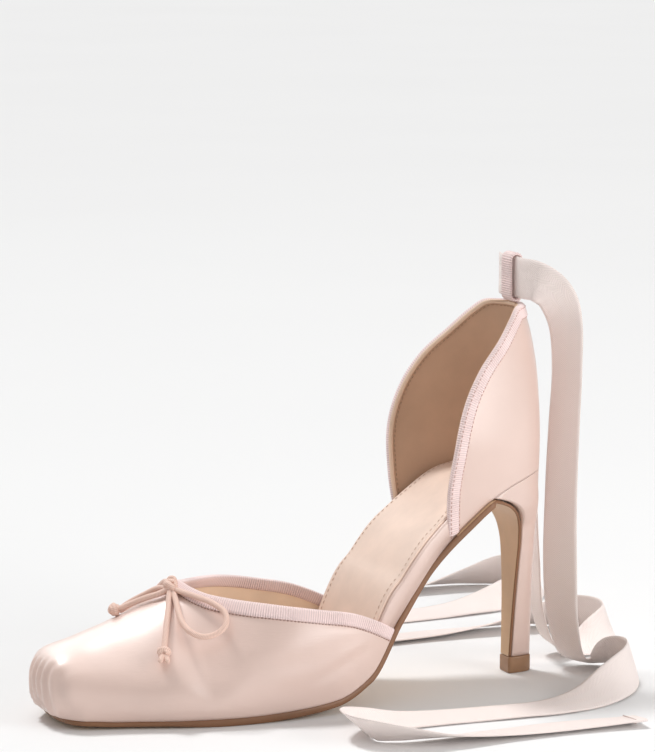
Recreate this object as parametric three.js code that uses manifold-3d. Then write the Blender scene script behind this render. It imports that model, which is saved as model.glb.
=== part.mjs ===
// Ballet heel: a square-toed satin shoe with open sides, a tall heel counter, a covered stiletto heel,
// a small cord bow on the vamp and two ankle ties. It is a left shoe.
// Millimetres, +Z up, toe towards -X, outer side towards -Y, floor at Z = 0.

import * as THREE from 'three';
import Module from 'manifold-3d';
import { LoftGeometry } from 'three/addons/geometries/LoftGeometry.js';
import { mergeVertices } from 'three/addons/utils/BufferGeometryUtils.js';

const wasm = await Module();
wasm.setup();

// Driving dimensions
const LENGTH = 212;
const TOE_X = -LENGTH / 2;
const CLEAR = 0.3; // gap between pieces that meet
const WALL = 1.8; // satin, backer and lining of vamp and counter
const SOLE_TOE = 2.0; // leaves the toe a little above the floor
const SOLE_FORE = 3.0;
const SOLE_WAIST = 2.4;
const BOARD_FORE = 3.0; // insole board inside the vamp
const BOARD_WAIST = 7.4; // wrapped board edge that shows at the waist
const BOARD_SEAT = 4.0;
const SOCK = 1.2;
const SOCK_INSET = 1.4;
const BINDING_WIDTH = 4.6;
const BINDING_PROUD = 0.6; // how far the binding stands off the wall on each face
const LIFT_HEIGHT = 6.6; // top-lift under the heel
const FLAP = 1.5; // sole leather down the heel breast
const TAB_TOP = 149; // height of the counter's tab
const CORD = 2.0; // bow cord diameter
const TIE_WIDTH = 16;
const TIE_THICK = 0.9;
const TIE_STEPS = 78; // sections along a tie
const FAR = 400; // reach of the cutting forms
const SLIVER = 0.05; // keeps the corners of a section apart
const OPEN_BELOW = 12; // how far the hollow of the vamp is carried on below the feather line

// Bottom of the last, from the toe tip back: height of the seat and half widths of the feather line
const BOTTOM = [
  { t: 0, seat: 5.8, outer: 15.5, inner: 9 },
  { t: 8, seat: 4.3, outer: 17.6, inner: 16.6 },
  { t: 18, seat: 3.5, outer: 19.8, inner: 22.6 },
  { t: 28, seat: 3.0, outer: 22.8, inner: 28 },
  { t: 50, seat: 3.0, outer: 31, inner: 34 },
  { t: 70, seat: 3.0, outer: 35.2, inner: 36 },
  { t: 92, seat: 3.9, outer: 36.8, inner: 34 },
  { t: 110, seat: 5.7, outer: 35.6, inner: 29.5 },
  { t: 125, seat: 12.6, outer: 33, inner: 26 },
  { t: 140, seat: 34.2, outer: 29.6, inner: 23.4 },
  { t: 155, seat: 53.3, outer: 27, inner: 22.6 },
  { t: 170, seat: 66.5, outer: 26.4, inner: 24 },
  { t: 184, seat: 76.5, outer: 26, inner: 24.6 },
  { t: 198, seat: 81.5, outer: 25.4, inner: 24.8 },
  { t: 212, seat: 84, outer: 25, inner: 25 },
];

// Top of the forepart: height of the crown, boxiness of the section, swell of the side wall, and how far the
// shoulders between the wall and the crown are let down
const FOREPART = [
  { t: 0, crown: 24.4, boxy: 4.5, swell: 1.0, shoulder: 0 },
  { t: 10, crown: 29, boxy: 5.0, swell: 1.6, shoulder: 4 },
  { t: 18, crown: 31.3, boxy: 5.5, swell: 2.2, shoulder: 8 },
  { t: 26, crown: 33.7, boxy: 6.0, swell: 2.6, shoulder: 11 },
  { t: 36, crown: 37.2, boxy: 6.0, swell: 2.8, shoulder: 15.5 },
  { t: 48, crown: 42.5, boxy: 5.5, swell: 3.0, shoulder: 20 },
  { t: 60, crown: 49.2, boxy: 3.2, swell: 3.0, shoulder: 29 },
  { t: 80, crown: 61, boxy: 2.5, swell: 2.6, shoulder: 14 },
  { t: 100, crown: 75, boxy: 2.5, swell: 2.0, shoulder: 4 },
  { t: 120, crown: 91, boxy: 2.4, swell: 1.4, shoulder: 0 },
  { t: 150, crown: 116, boxy: 2.4, swell: 1.0, shoulder: 0 },
];
const SHOULDER_POWER = 1.8;

// Square toe: station of its tip, how far back from there it rounds off in plan, at the top and underneath,
// and the height of its tip
const TOE_CAP = { start: 0.6, plan: 11, planPower: 3, top: 7, under: 5, roundPower: 2.2, middle: 16.5 };
const TOE_TUCK = 7.4; // station where the sole starts; the vamp wraps under the toe up to there

// Top edge of the vamp in side view, from above the throat to below the end of the wing
const TOPLINE = [
  { t: 57.6, z: 62 },
  { t: 58.4, z: 54 },
  { t: 60.6, z: 49.4 },
  { t: 65, z: 46.8 },
  { t: 72, z: 45.4 },
  { t: 88, z: 43.6 },
  { t: 104, z: 41 },
  { t: 120, z: 37.5 },
  { t: 140, z: 27.8 },
  { t: 152, z: 19 },
];

// Counter: back and half width of its horizontal sections
const COUNTER = [
  { z: 40, back: 104.5, half: 25 },
  { z: 62, back: 105, half: 26 },
  { z: 80, back: 105.3, half: 29 },
  { z: 100, back: 105, half: 33 },
  { z: 120, back: 104, half: 31.4 },
  { z: 136, back: 101.6, half: 29 },
  { z: 150, back: 97.4, half: 26.5 },
  { z: 160, back: 93.5, half: 25 },
];
const COUNTER_FRONT = 20; // plane that the counter's sections start from
const COUNTER_POWER = 2.5;

// Front edge of the counter in side view, from below the seat to the top of the tab
const WING = [
  { x: 58, z: 40 },
  { x: 57, z: 56 },
  { x: 55, z: 80 },
  { x: 56.8, z: 100 },
  { x: 61.5, z: 115 },
  { x: 69, z: 127 },
  { x: 79, z: 137 },
  { x: 86, z: 144.5 },
  { x: 90.5, z: 148.4 },
  { x: 95, z: TAB_TOP },
  { x: 112, z: TAB_TOP },
];

// Heel: breast, back and half width of its horizontal sections
const HEEL = [
  { z: 7, breast: 95, back: 104.4, half: 3.6 },
  { z: 22, breast: 95.6, back: 104.7, half: 4.4 },
  { z: 40, breast: 96.3, back: 105.1, half: 6 },
  { z: 53, breast: 96.6, back: 105.4, half: 7.9 },
  { z: 60, breast: 96, back: 105.5, half: 9.6 },
  { z: 66, breast: 94, back: 105.6, half: 12.4 },
  { z: 70, breast: 90.5, back: 105.6, half: 16 },
  { z: 73, breast: 85.5, back: 105.5, half: 19.6 },
  { z: 75.4, breast: 78, back: 105.4, half: 22.4 },
  { z: 77, breast: 70, back: 105.3, half: 23.4 },
  { z: 90, breast: 60, back: 105.3, half: 25.4 },
];
const HEEL_POWER = 2.3;
const HEEL_TOP = 84; // highest point of the heel's cup, at the back

// Tape loop that stands on the tab and carries the ties
const LOOP = { x: 95.6, width: 8, deep: 5.6, tall: 19.4, wall: 1.0 };
const LOOP_MIDDLE = TAB_TOP + CLEAR + LOOP.tall / 2;

// Bow: points on the vamp as station, turn over the section in degrees (90 on the crown, more on the outer
// side) and height of the cord's middle above the binding's face
const KNOT = { t: 54.7, turn: 96.8, lift: 3.2, long: 3.4, wide: 3.2, tall: 2.0 };
const BOW_LOOP_OUTER = [
  { t: 57.2, turn: 104.1, lift: 1.6 },
  { t: 61.3, turn: 112.5, lift: 2.2 },
  { t: 65.3, turn: 120.2, lift: 3.6 },
  { t: 67.5, turn: 126.7, lift: 5 },
  { t: 66.0, turn: 130.4, lift: 5.8 },
  { t: 61.8, turn: 130.5, lift: 6 },
  { t: 57.3, turn: 129.1, lift: 5.6 },
  { t: 53.7, turn: 126.3, lift: 4.6 },
  { t: 52.6, turn: 121.5, lift: 3.2 },
  { t: 53.2, turn: 114.4, lift: 2.2 },
  { t: 54.3, turn: 107.0, lift: 1.6 },
];
const BOW_LOOP_INNER = [
  { t: 56.4, turn: 83.8, lift: 1.6 },
  { t: 57.4, turn: 72.0, lift: 1.5 },
  { t: 56.6, turn: 62.9, lift: 1.5 },
  { t: 53.6, turn: 57.5, lift: 1.5 },
  { t: 49.0, turn: 55.7, lift: 1.5 },
  { t: 45.0, turn: 57.9, lift: 1.5 },
  { t: 43.6, turn: 63.1, lift: 1.5 },
  { t: 45.0, turn: 70.3, lift: 1.5 },
  { t: 48.6, turn: 77.7, lift: 1.5 },
  { t: 52.4, turn: 85.8, lift: 1.6 },
];
const BOW_END_OUTER = [
  { t: 52.3, turn: 104.6, lift: 1.6 },
  { t: 50.3, turn: 111.4, lift: 1.5 },
  { t: 47.7, turn: 118.8, lift: 1.5 },
  { t: 45.4, turn: 125.1, lift: 1.5 },
  { t: 43.9, turn: 129.0, lift: 1.6 },
  { t: 43.2, turn: 131.0, lift: 2.2 },
];
const BOW_END_INNER = [
  { t: 51.0, turn: 94.4, lift: 1.6 },
  { t: 47.0, turn: 88.5, lift: 1.5 },
  { t: 43.0, turn: 83.1, lift: 1.5 },
  { t: 39.0, turn: 79.5, lift: 1.6 },
  { t: 36.0, turn: 78.1, lift: 2.2 },
];
const LOOP_STEPS = 20; // sections along a bow loop
const END_KNOT = 1.9; // radius of the small knot at the end of each strand

// Ankle ties: points of the middle line, height of the lower edge, and which way the width runs:
// turn is its direction in plan and tilt how far it stands up from level, both in degrees
const TIE_OUTER = [
  { x: 95.6, y: -0.4, lift: 150.9, turn: -60, tilt: 90 },
  { x: 95.7, y: -9, lift: 150.7, turn: -60, tilt: 88 },
  { x: 98.5, y: -16, lift: 150.2, turn: -62, tilt: 78 },
  { x: 104, y: -19.6, lift: 146.5, turn: -66, tilt: 58 },
  { x: 109, y: -19, lift: 138, turn: -70, tilt: 34 },
  { x: 111.6, y: -16.5, lift: 122, turn: -72, tilt: 14 },
  { x: 112.2, y: -13.5, lift: 100, turn: -70, tilt: 4 },
  { x: 112.2, y: -11.5, lift: 72, turn: -66, tilt: 0 },
  { x: 112.6, y: -10.5, lift: 44, turn: -62, tilt: 0 },
  { x: 114.5, y: -10, lift: 20, turn: -68, tilt: 0 },
  { x: 119.5, y: -9.4, lift: 5, turn: -78, tilt: 4 },
  { x: 127, y: -10.5, lift: 0.3, turn: -96, tilt: 24 },
  { x: 133.5, y: -17.5, lift: 0.3, turn: -134, tilt: 58 },
  { x: 134.5, y: -29, lift: 0.3, turn: -176, tilt: 74 },
  { x: 128, y: -42, lift: 0.3, turn: -214, tilt: 70 },
  { x: 116, y: -52, lift: 0.3, turn: -234, tilt: 44 },
  { x: 101, y: -59.5, lift: 0.3, turn: -248, tilt: 16 },
  { x: 84, y: -63, lift: 0.3, turn: -264, tilt: 6 },
  { x: 64, y: -62, lift: 0.3, turn: -274, tilt: 4 },
  { x: 42, y: -60, lift: 0.3, turn: -274, tilt: 4 },
  { x: 22, y: -59.5, lift: 0.3, turn: -268, tilt: 10 },
  { x: 6, y: -62, lift: 0.3, turn: -248, tilt: 26 },
  { x: -4, y: -70, lift: 0.3, turn: -208, tilt: 40 },
  { x: -4, y: -80, lift: 0.3, turn: -164, tilt: 42 },
  { x: 6, y: -88, lift: 0.3, turn: -118, tilt: 34 },
  { x: 24, y: -91, lift: 0.3, turn: -92, tilt: 16 },
  { x: 46, y: -90, lift: 0.3, turn: -86, tilt: 6 },
  { x: 68, y: -90, lift: 0.3, turn: -90, tilt: 4 },
  { x: 88, y: -91.5, lift: 0.3, turn: -96, tilt: 5 },
  { x: 103, y: -93.5, lift: 0.3, turn: -98, tilt: 8 },
];
const TIE_INNER = [
  { x: 95.6, y: 0.4, lift: 150.9, turn: 60, tilt: 90 },
  { x: 95.7, y: 9, lift: 150.7, turn: 60, tilt: 88 },
  { x: 98.5, y: 16, lift: 150.2, turn: 62, tilt: 78 },
  { x: 104, y: 19.6, lift: 146.5, turn: 66, tilt: 58 },
  { x: 109, y: 19.4, lift: 138, turn: 70, tilt: 34 },
  { x: 111.6, y: 17.6, lift: 122, turn: 74, tilt: 14 },
  { x: 112.2, y: 15.6, lift: 100, turn: 76, tilt: 4 },
  { x: 112.4, y: 14, lift: 72, turn: 78, tilt: 0 },
  { x: 113, y: 13, lift: 44, turn: 80, tilt: 0 },
  { x: 115, y: 13, lift: 20, turn: 82, tilt: 2 },
  { x: 122, y: 14, lift: 5, turn: 86, tilt: 4 },
  { x: 136, y: 16, lift: 0.3, turn: 92, tilt: 16 },
  { x: 148, y: 20, lift: 0.3, turn: 112, tilt: 44 },
  { x: 157, y: 29, lift: 0.3, turn: 146, tilt: 68 },
  { x: 159, y: 42, lift: 0.3, turn: 184, tilt: 74 },
  { x: 152, y: 55, lift: 0.3, turn: 228, tilt: 66 },
  { x: 138, y: 62, lift: 0.3, turn: 256, tilt: 40 },
  { x: 118, y: 65, lift: 0.3, turn: 266, tilt: 16 },
  { x: 86, y: 66.5, lift: 0.3, turn: 269, tilt: 5 },
  { x: 54, y: 66, lift: 0.3, turn: 271, tilt: 4 },
  { x: 22, y: 64.5, lift: 0.3, turn: 271, tilt: 6 },
  { x: -4, y: 66, lift: 0.3, turn: 260, tilt: 24 },
  { x: -22, y: 73, lift: 0.3, turn: 226, tilt: 54 },
  { x: -29, y: 86, lift: 0.3, turn: 180, tilt: 64 },
  { x: -21, y: 98, lift: 0.3, turn: 130, tilt: 56 },
  { x: -4, y: 104, lift: 0.3, turn: 98, tilt: 28 },
  { x: 24, y: 104, lift: 0.3, turn: 88, tilt: 6 },
  { x: 56, y: 102, lift: 0.3, turn: 87, tilt: 4 },
  { x: 90, y: 101, lift: 0.3, turn: 90, tilt: 4 },
  { x: 122, y: 102, lift: 0.3, turn: 93, tilt: 8 },
  { x: 148, y: 105, lift: 0.3, turn: 104, tilt: 32 },
  { x: 166, y: 113, lift: 0.3, turn: 132, tilt: 62 },
  { x: 173, y: 127, lift: 0.3, turn: 180, tilt: 74 },
  { x: 165, y: 140, lift: 0.3, turn: 228, tilt: 64 },
  { x: 147, y: 146, lift: 0.3, turn: 256, tilt: 36 },
  { x: 120, y: 147, lift: 0.3, turn: 268, tilt: 10 },
  { x: 90, y: 147, lift: 0.3, turn: 270, tilt: 4 },
  { x: 62, y: 149, lift: 0.3, turn: 265, tilt: 5 },
  { x: 40, y: 152.5, lift: 0.3, turn: 260, tilt: 6 },
];

// Colours
const SATIN = { color: 0xeed8d2, roughness: 0.45, metalness: 0 };
const GROSGRAIN = { color: 0xe6c3c1, roughness: 0.8, metalness: 0 };
const TWILL = { color: 0xecd6cc, roughness: 0.75, metalness: 0 };
const ELASTIC = { color: 0xd8b1a2, roughness: 0.7, metalness: 0 };
const LEATHER = { color: 0xa67a56, roughness: 0.5, metalness: 0 };
const LIFT_RUBBER = { color: 0x9a7050, roughness: 0.55, metalness: 0 };
const SOCK_SUEDE = { color: 0xe6cdb4, roughness: 0.75, metalness: 0 };

// Curves through tables

// A smooth curve through two columns of a table that never overshoots between its rows.
function through(rows, along, column) {
  const x = rows.map((row) => row[along]);
  const y = rows.map((row) => row[column]);
  const last = x.length - 1;
  const rise = x.slice(1).map((value, i) => (y[i + 1] - y[i]) / (value - x[i]));
  const slope = x.map((value, i) => {
    if (i === 0) return rise[0];
    if (i === last) return rise[last - 1];
    return rise[i - 1] * rise[i] <= 0 ? 0 : (2 * rise[i - 1] * rise[i]) / (rise[i - 1] + rise[i]);
  });
  return (at) => {
    if (at <= x[0]) return y[0] + slope[0] * (at - x[0]);
    if (at >= x[last]) return y[last] + slope[last] * (at - x[last]);
    const i = x.findIndex((value) => value > at) - 1;
    const span = x[i + 1] - x[i];
    const s = (at - x[i]) / span;
    const ease = s * s * (3 - 2 * s);
    const lead = s * (1 - s) * (1 - s) * span;
    const trail = s * s * (s - 1) * span;
    return y[i] + ease * (y[i + 1] - y[i]) + lead * slope[i] + trail * slope[i + 1];
  };
}

const seat = through(BOTTOM, 't', 'seat');
const outer = through(BOTTOM, 't', 'outer');
const inner = through(BOTTOM, 't', 'inner');
const crown = through(FOREPART, 't', 'crown');
const boxy = through(FOREPART, 't', 'boxy');
const swell = through(FOREPART, 't', 'swell');
const shoulder = through(FOREPART, 't', 'shoulder');
const counterBack = through(COUNTER, 'z', 'back');
const counterHalf = through(COUNTER, 'z', 'half');
const heelBreast = through(HEEL, 'z', 'breast');
const heelBack = through(HEEL, 'z', 'back');
const heelHalf = through(HEEL, 'z', 'half');

// Length along the seat for a millimetre of station
const slopeLength = (t) => Math.hypot(1, seat(t + 0.5) - seat(t - 0.5));
const blend = (from, to, at) => THREE.MathUtils.smoothstep(at, from, to);

// Evenly spaced numbers from one value to another, both included.
function spread(from, to, steps) {
  return Array.from({ length: steps + 1 }, (_, i) => from + ((to - from) * i) / steps);
}

// Powers for superellipse arcs: signed, and of a value that is never below zero
const bend = (value, power) => Math.sign(value) * Math.abs(value) ** power;
const above = (value, power) => Math.max(value, 0) ** power;

// Solids

function solid(geometry) {
  const bare = new THREE.BufferGeometry();
  bare.setAttribute('position', geometry.getAttribute('position'));
  bare.setIndex(geometry.getIndex());
  const merged = mergeVertices(bare);
  const vertProperties = new Float32Array(merged.getAttribute('position').array);
  const triVerts = new Uint32Array(merged.getIndex().array);
  return new wasm.Manifold(new wasm.Mesh({ numProp: 3, vertProperties, triVerts }));
}

function loft(sections) {
  return solid(new LoftGeometry(sections, { capStart: true, capEnd: true }));
}

function geometryOf(body) {
  const mesh = body.getMesh();
  const geometry = new THREE.BufferGeometry();
  geometry.setAttribute('position', new THREE.BufferAttribute(mesh.vertProperties, 3));
  geometry.setIndex(new THREE.BufferAttribute(mesh.triVerts, 1));
  geometry.computeVertexNormals();
  return geometry;
}

// A side-view outline, cut right across the shoe.
function acrossShoe(points) {
  const shape = new THREE.Shape(points.map((point) => new THREE.Vector2(point.x, point.z)));
  const geometry = new THREE.ExtrudeGeometry(shape, { depth: FAR, bevelEnabled: false });
  geometry.rotateX(Math.PI / 2);
  geometry.translate(0, FAR / 2, 0);
  return solid(geometry);
}

// Last

// How much of the full width or height is there at a distance behind a rounded end
function toeScale(t, reach, power) {
  if (t >= reach) return 1;
  return above(1 - (1 - t / reach) ** power, 1 / power);
}

// Point of the forepart: station, turn over the section from the inner (0) to the outer (PI) feather line,
// how far the surface is moved out, and how far its foot is raised
function forePoint(t, turn, grow, raise = 0) {
  const behind = t - TOE_CAP.start;
  const planScale = toeScale(behind, TOE_CAP.plan, TOE_CAP.planPower);
  const topScale = toeScale(behind, TOE_CAP.top, TOE_CAP.roundPower);
  const underScale = toeScale(behind, TOE_CAP.under, TOE_CAP.roundPower);
  const side = Math.cos(turn);
  const rise = Math.max(Math.sin(turn), 0);
  const reach = (Math.abs(side) ** boxy(t) + rise ** boxy(t)) ** (-1 / boxy(t));
  const share = side * reach;
  const up = rise * reach;
  const half = ((side > 0 ? inner(t) : outer(t)) + grow) * planScale;
  const foot = TOE_CAP.middle + (seat(t) + raise - TOE_CAP.middle) * underScale;
  const head = TOE_CAP.middle + (crown(t) + grow - TOE_CAP.middle) * topScale;
  const bulge = swell(t) * planScale * 4 * up * (1 - up) * Math.min(1, Math.abs(share) * 3);
  const across = share * half + Math.sign(side) * bulge;
  const drop = shoulder(t) * topScale * up * Math.abs(share) ** SHOULDER_POWER;
  return new THREE.Vector3(TOE_X + t, across, foot + (head - foot) * up - drop);
}

// Turns over a section, closest together at the corner between the wall and the roof
const HALF_TURNS = [0, 12, 22, 30, 37, 43, 49, 56, 65, 77].map(THREE.MathUtils.degToRad);
const FORE_TURNS = [...HALF_TURNS, Math.PI / 2, ...HALF_TURNS.map((turn) => Math.PI - turn).reverse()];
const FORE_STATIONS = [
  0.64, 0.8, 1.2, 2, 3.2, 4.8, 6.6, 9, 12, 16.5, 22, 28, 35, 43, 51, 58, 64, 72,
  82, 92, 102, 111, 119, 126, 132, 138, 144, 150,
];

// Forepart as a solid, grown or shrunk. Behind the tucked toe its underside is lowered.
function forepart(grow, lower) {
  return loft(FORE_STATIONS.map((t) => {
    const tucked = t < TOE_TUCK + 1;
    const ahead = grow * Math.max(0, 1 - (t - TOE_CAP.start) / TOE_CAP.plan);
    const ring = FORE_TURNS.map((turn) => forePoint(t, turn, grow, tucked && lower > 0 ? -grow : 0));
    const sole = ring[0].z - (tucked ? SLIVER : lower);
    const corners = [ring[ring.length - 1].y, ring[0].y].map((y) => new THREE.Vector3(TOE_X + t, y, sole));
    const section = lower > 0 ? [...ring, ...corners] : ring;
    return section.map((point) => point.setX(point.x - ahead));
  }));
}

// Half-round section, flat in front, in plan
function dSection(front, back, half, power, z, steps) {
  return spread(-Math.PI / 2, Math.PI / 2, steps).map((turn) => {
    const x = front + (back - front) * above(Math.cos(turn), 2 / power);
    return new THREE.Vector3(x, half * bend(Math.sin(turn), 2 / power), z);
  });
}

const COUNTER_LEVELS = [40, 55, 68, 78, 88, 98, 108, 118, 127, 135, 142, 149, 156, 160];
const HEEL_LEVELS = [
  LIFT_HEIGHT + CLEAR, 14, 22, 31, 40, 47, 53, 58, 62, 66, 68.5, 70.5, 72.3, 73.8, 75, 76.1, 77, HEEL_TOP, 90,
];

function counterForm(grow) {
  return loft(COUNTER_LEVELS.map((z) =>
    dSection(COUNTER_FRONT, counterBack(z) + grow, counterHalf(z) + grow, COUNTER_POWER, z, 22)));
}

function heelForm() {
  return loft(HEEL_LEVELS.map((z) => dSection(heelBreast(z), heelBack(z), heelHalf(z), HEEL_POWER, z, 20)));
}

// Edge curves in side view

// Smooth line through a table of side-view points
function sideLine(rows, steps) {
  const points = rows.map((row) => new THREE.Vector3(row.x, 0, row.z));
  return new THREE.CatmullRomCurve3(points, false, 'centripetal').getSpacedPoints(steps);
}

// The same line moved sideways, to the left of its direction
function besideLine(line, distance) {
  return line.map((point, i) => {
    const before = line[Math.max(i - 1, 0)];
    const after = line[Math.min(i + 1, line.length - 1)];
    const along = new THREE.Vector3().subVectors(after, before).normalize();
    return new THREE.Vector3(point.x - along.z * distance, 0, point.z + along.x * distance);
  });
}

const EDGE_STEPS = 40;
const topline = sideLine(TOPLINE.map((row) => ({ x: TOE_X + row.t, z: row.z })), EDGE_STEPS);
const wingline = sideLine(WING, EDGE_STEPS);

// Everything below and in front of the vamp's top edge, moved by a distance
function belowTopline(distance) {
  const line = besideLine(topline, distance);
  const corners = [[FAR, line[line.length - 1].z], [FAR, -FAR], [-FAR, -FAR], [-FAR, line[0].z]];
  return acrossShoe([...line, ...corners.map(([x, z]) => ({ x, z }))]);
}

// Everything behind and below the counter's edge, moved by a distance
function behindWing(distance) {
  const line = besideLine(wingline, distance);
  return acrossShoe([...line, { x: FAR, z: line[line.length - 1].z }, { x: FAR, z: line[0].z }]);
}

// Everything above the seat, or below it
const seatLine = spread(-10, LENGTH + 20, 60).map((t) => ({ x: TOE_X + t, z: seat(t) }));

function aboveSeat(distance) {
  const line = seatLine.map((point) => ({ x: point.x, z: point.z + distance }));
  return acrossShoe([...line, { x: line[line.length - 1].x, z: FAR }, { x: line[0].x, z: FAR }]);
}

function belowSeat(distance) {
  const line = seatLine.map((point) => ({ x: point.x, z: point.z + distance }));
  return acrossShoe([...line, { x: line[line.length - 1].x, z: -FAR }, { x: line[0].x, z: -FAR }]);
}

// Pieces

function outsole(heel) {
  const end = 187; // inside the heel's front lip
  const round = 14;
  const ease = spread(0, 1, 8).map((s) => TOE_TUCK + round * s * s);
  const stations = [...ease, ...spread(TOE_TUCK + round, end, 42).slice(1)];
  const sections = stations.map((t) => {
    const square = toeScale(t - TOE_TUCK + SLIVER, TOE_CAP.plan, TOE_CAP.planPower);
    const fore = THREE.MathUtils.lerp(SOLE_TOE, SOLE_FORE, blend(40, 66, t));
    const thick = THREE.MathUtils.lerp(fore, SOLE_WAIST, blend(85, 130, t)) * slopeLength(t);
    const x = TOE_X + t;
    const low = Math.max(0, seat(t) - thick);
    return [
      new THREE.Vector3(x, inner(t) * square, low),
      new THREE.Vector3(x, inner(t) * square, seat(t)),
      new THREE.Vector3(x, -outer(t) * square, seat(t)),
      new THREE.Vector3(x, -outer(t) * square, low),
    ];
  });
  const breast = spread(LIFT_HEIGHT + CLEAR, HEEL_TOP, 26).map((z) => ({ x: heelBreast(z) + 1, z }));
  const ahead = acrossShoe([{ x: -FAR, z: LIFT_HEIGHT + CLEAR }, ...breast, { x: -FAR, z: HEEL_TOP }]);
  const flap = heel.translate([-FLAP, 0, -FLAP]).intersect(ahead).intersect(belowSeat(-0.05));
  const room = [[-CLEAR, 0, -CLEAR], [0, CLEAR, 0], [0, -CLEAR, 0]];
  return room.reduce((sole, move) => sole.subtract(heel.translate(move)), loft(sections).add(flap));
}

function topLift() {
  const foot = dSection(heelBreast(7) - FLAP, heelBack(7) + 0.1, heelHalf(7) + 0.3, HEEL_POWER, 0, 16);
  const head = foot.map((point) => new THREE.Vector3(point.x, point.y, LIFT_HEIGHT));
  return loft([foot, head]);
}

function boardThickness(t) {
  const waist = blend(112, 132, t) * (1 - blend(168, 190, t));
  return BOARD_FORE + (BOARD_WAIST - BOARD_FORE) * waist + (BOARD_SEAT - BOARD_FORE) * blend(168, 190, t);
}

// A layer of the insole, between two heights above the seat and drawn in from the feather line
function insoleLayer(low, high, inset, from, to) {
  const round = 12;
  const ease = spread(0, 1, 7);
  const front = ease.map((s) => from + round * s * s);
  const middle = spread(from + round, to - round, 30).slice(1, -1);
  const back = ease.map((s) => to - round * (1 - s) ** 2);
  const stations = [...front, ...middle, ...back];
  return loft(stations.map((t) => {
    const x = TOE_X + t;
    const square = toeScale(t - from + SLIVER, round, 2.4) * toeScale(to - t + SLIVER, round, 2);
    const left = (inner(t) - inset) * square;
    const right = -(outer(t) - inset) * square;
    const foot = seat(t) + low(t) * slopeLength(t);
    const head = seat(t) + high(t) * slopeLength(t);
    return [
      new THREE.Vector3(x, left, foot),
      new THREE.Vector3(x, left, head),
      new THREE.Vector3(x, right, head),
      new THREE.Vector3(x, right, foot),
    ];
  }));
}

// A strap-like ribbon along a table of points
function tiePoints(rows) {
  const along = spread(0, rows.length - 1, TIE_STEPS);
  const numbered = rows.map((row, i) => ({ ...row, i }));
  const turn = through(numbered, 'i', 'turn');
  const tilt = through(numbered, 'i', 'tilt');
  const middles = rows.map((row) => {
    const rise = (TIE_WIDTH / 2) * Math.sin(THREE.MathUtils.degToRad(row.tilt));
    return new THREE.Vector3(row.x, row.y, row.lift + rise + TIE_THICK / 2);
  });
  const path = new THREE.CatmullRomCurve3(middles, false, 'centripetal');
  return along.map((i) => {
    const at = i / (rows.length - 1);
    const tangent = path.getTangent(at);
    const a = THREE.MathUtils.degToRad(turn(i));
    const b = THREE.MathUtils.degToRad(tilt(i));
    const width = new THREE.Vector3(Math.cos(b) * Math.cos(a), Math.cos(b) * Math.sin(a), Math.sin(b));
    width.addScaledVector(tangent, -width.dot(tangent)).normalize();
    const face = new THREE.Vector3().crossVectors(tangent, width);
    return { point: path.getPoint(at), width, face };
  });
}

function tie(rows) {
  const corners = [[1, 1], [-1, 1], [-1, -1], [1, -1]];
  return loft(tiePoints(rows).map(({ point, width, face }) => corners.map(([w, f]) =>
    point.clone().addScaledVector(width, (w * TIE_WIDTH) / 2).addScaledVector(face, (f * TIE_THICK) / 2))));
}

function heelLoop() {
  const outside = LOOP.deep / 2;
  const straight = LOOP.tall / 2 - outside;
  const ring = (radius) => {
    const arc = spread(0, Math.PI, 8);
    const upper = arc.map((a) => new THREE.Vector2(radius * Math.cos(a), straight + radius * Math.sin(a)));
    const lower = upper.map((point) => new THREE.Vector2(-point.x, -point.y));
    return [...upper, ...lower];
  };
  const shape = new THREE.Shape(ring(outside));
  shape.holes.push(new THREE.Path(ring(outside - LOOP.wall)));
  const geometry = new THREE.ExtrudeGeometry(shape, { depth: LOOP.width, bevelEnabled: false });
  geometry.rotateX(Math.PI / 2);
  geometry.translate(LOOP.x, LOOP.width / 2, LOOP_MIDDLE);
  return solid(geometry);
}

function onVamp(row) {
  return forePoint(row.t, THREE.MathUtils.degToRad(row.turn), BINDING_PROUD + row.lift);
}

function strand(rows, steps) {
  const path = new THREE.CatmullRomCurve3(rows.map(onVamp), false, 'centripetal');
  const section = new THREE.Shape(spread(0, 2 * Math.PI, 8).slice(0, -1).map((a) =>
    new THREE.Vector2((CORD / 2) * Math.cos(a), (CORD / 2) * Math.sin(a))));
  return solid(new THREE.ExtrudeGeometry(section, { steps, extrudePath: path, bevelEnabled: false }));
}

function endStrand(rows) {
  const knot = solid(new THREE.SphereGeometry(END_KNOT, 12, 8));
  const last = onVamp(rows[rows.length - 1]);
  return strand(rows, LOOP_STEPS / 2).add(knot.translate([last.x, last.y, last.z]));
}

function bowKnot() {
  const geometry = new THREE.SphereGeometry(1, 14, 10);
  geometry.scale(KNOT.long, KNOT.wide, KNOT.tall);
  const place = onVamp(KNOT);
  geometry.translate(place.x, place.y, place.z);
  return solid(geometry);
}

// Assembly

const heelBlank = heelForm();
const lining = -WALL; // inner face of the wall
const bandFace = -WALL - BINDING_PROUD; // inner face of the binding
const onSole = aboveSeat(CLEAR);
const vampShell = forepart(0, 0).subtract(forepart(lining, OPEN_BELOW)).intersect(onSole);
const vampBand = forepart(BINDING_PROUD, 0).subtract(forepart(bandFace, OPEN_BELOW)).intersect(onSole);
const counterShell = counterForm(0).subtract(counterForm(lining)).intersect(onSole);
const counterBand = counterForm(BINDING_PROUD).subtract(counterForm(bandFace)).intersect(onSole);

// Room that the insole leaves around the upper
const vampHollow = forepart(bandFace - CLEAR, OPEN_BELOW);
const vampRoom = forepart(2 * WALL, OPEN_BELOW / 4).subtract(vampHollow).intersect(belowTopline(CLEAR));
const counterHollow = counterForm(bandFace - CLEAR);
const counterRoom = counterForm(FAR / 10).subtract(counterHollow).intersect(behindWing(CLEAR));

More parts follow.
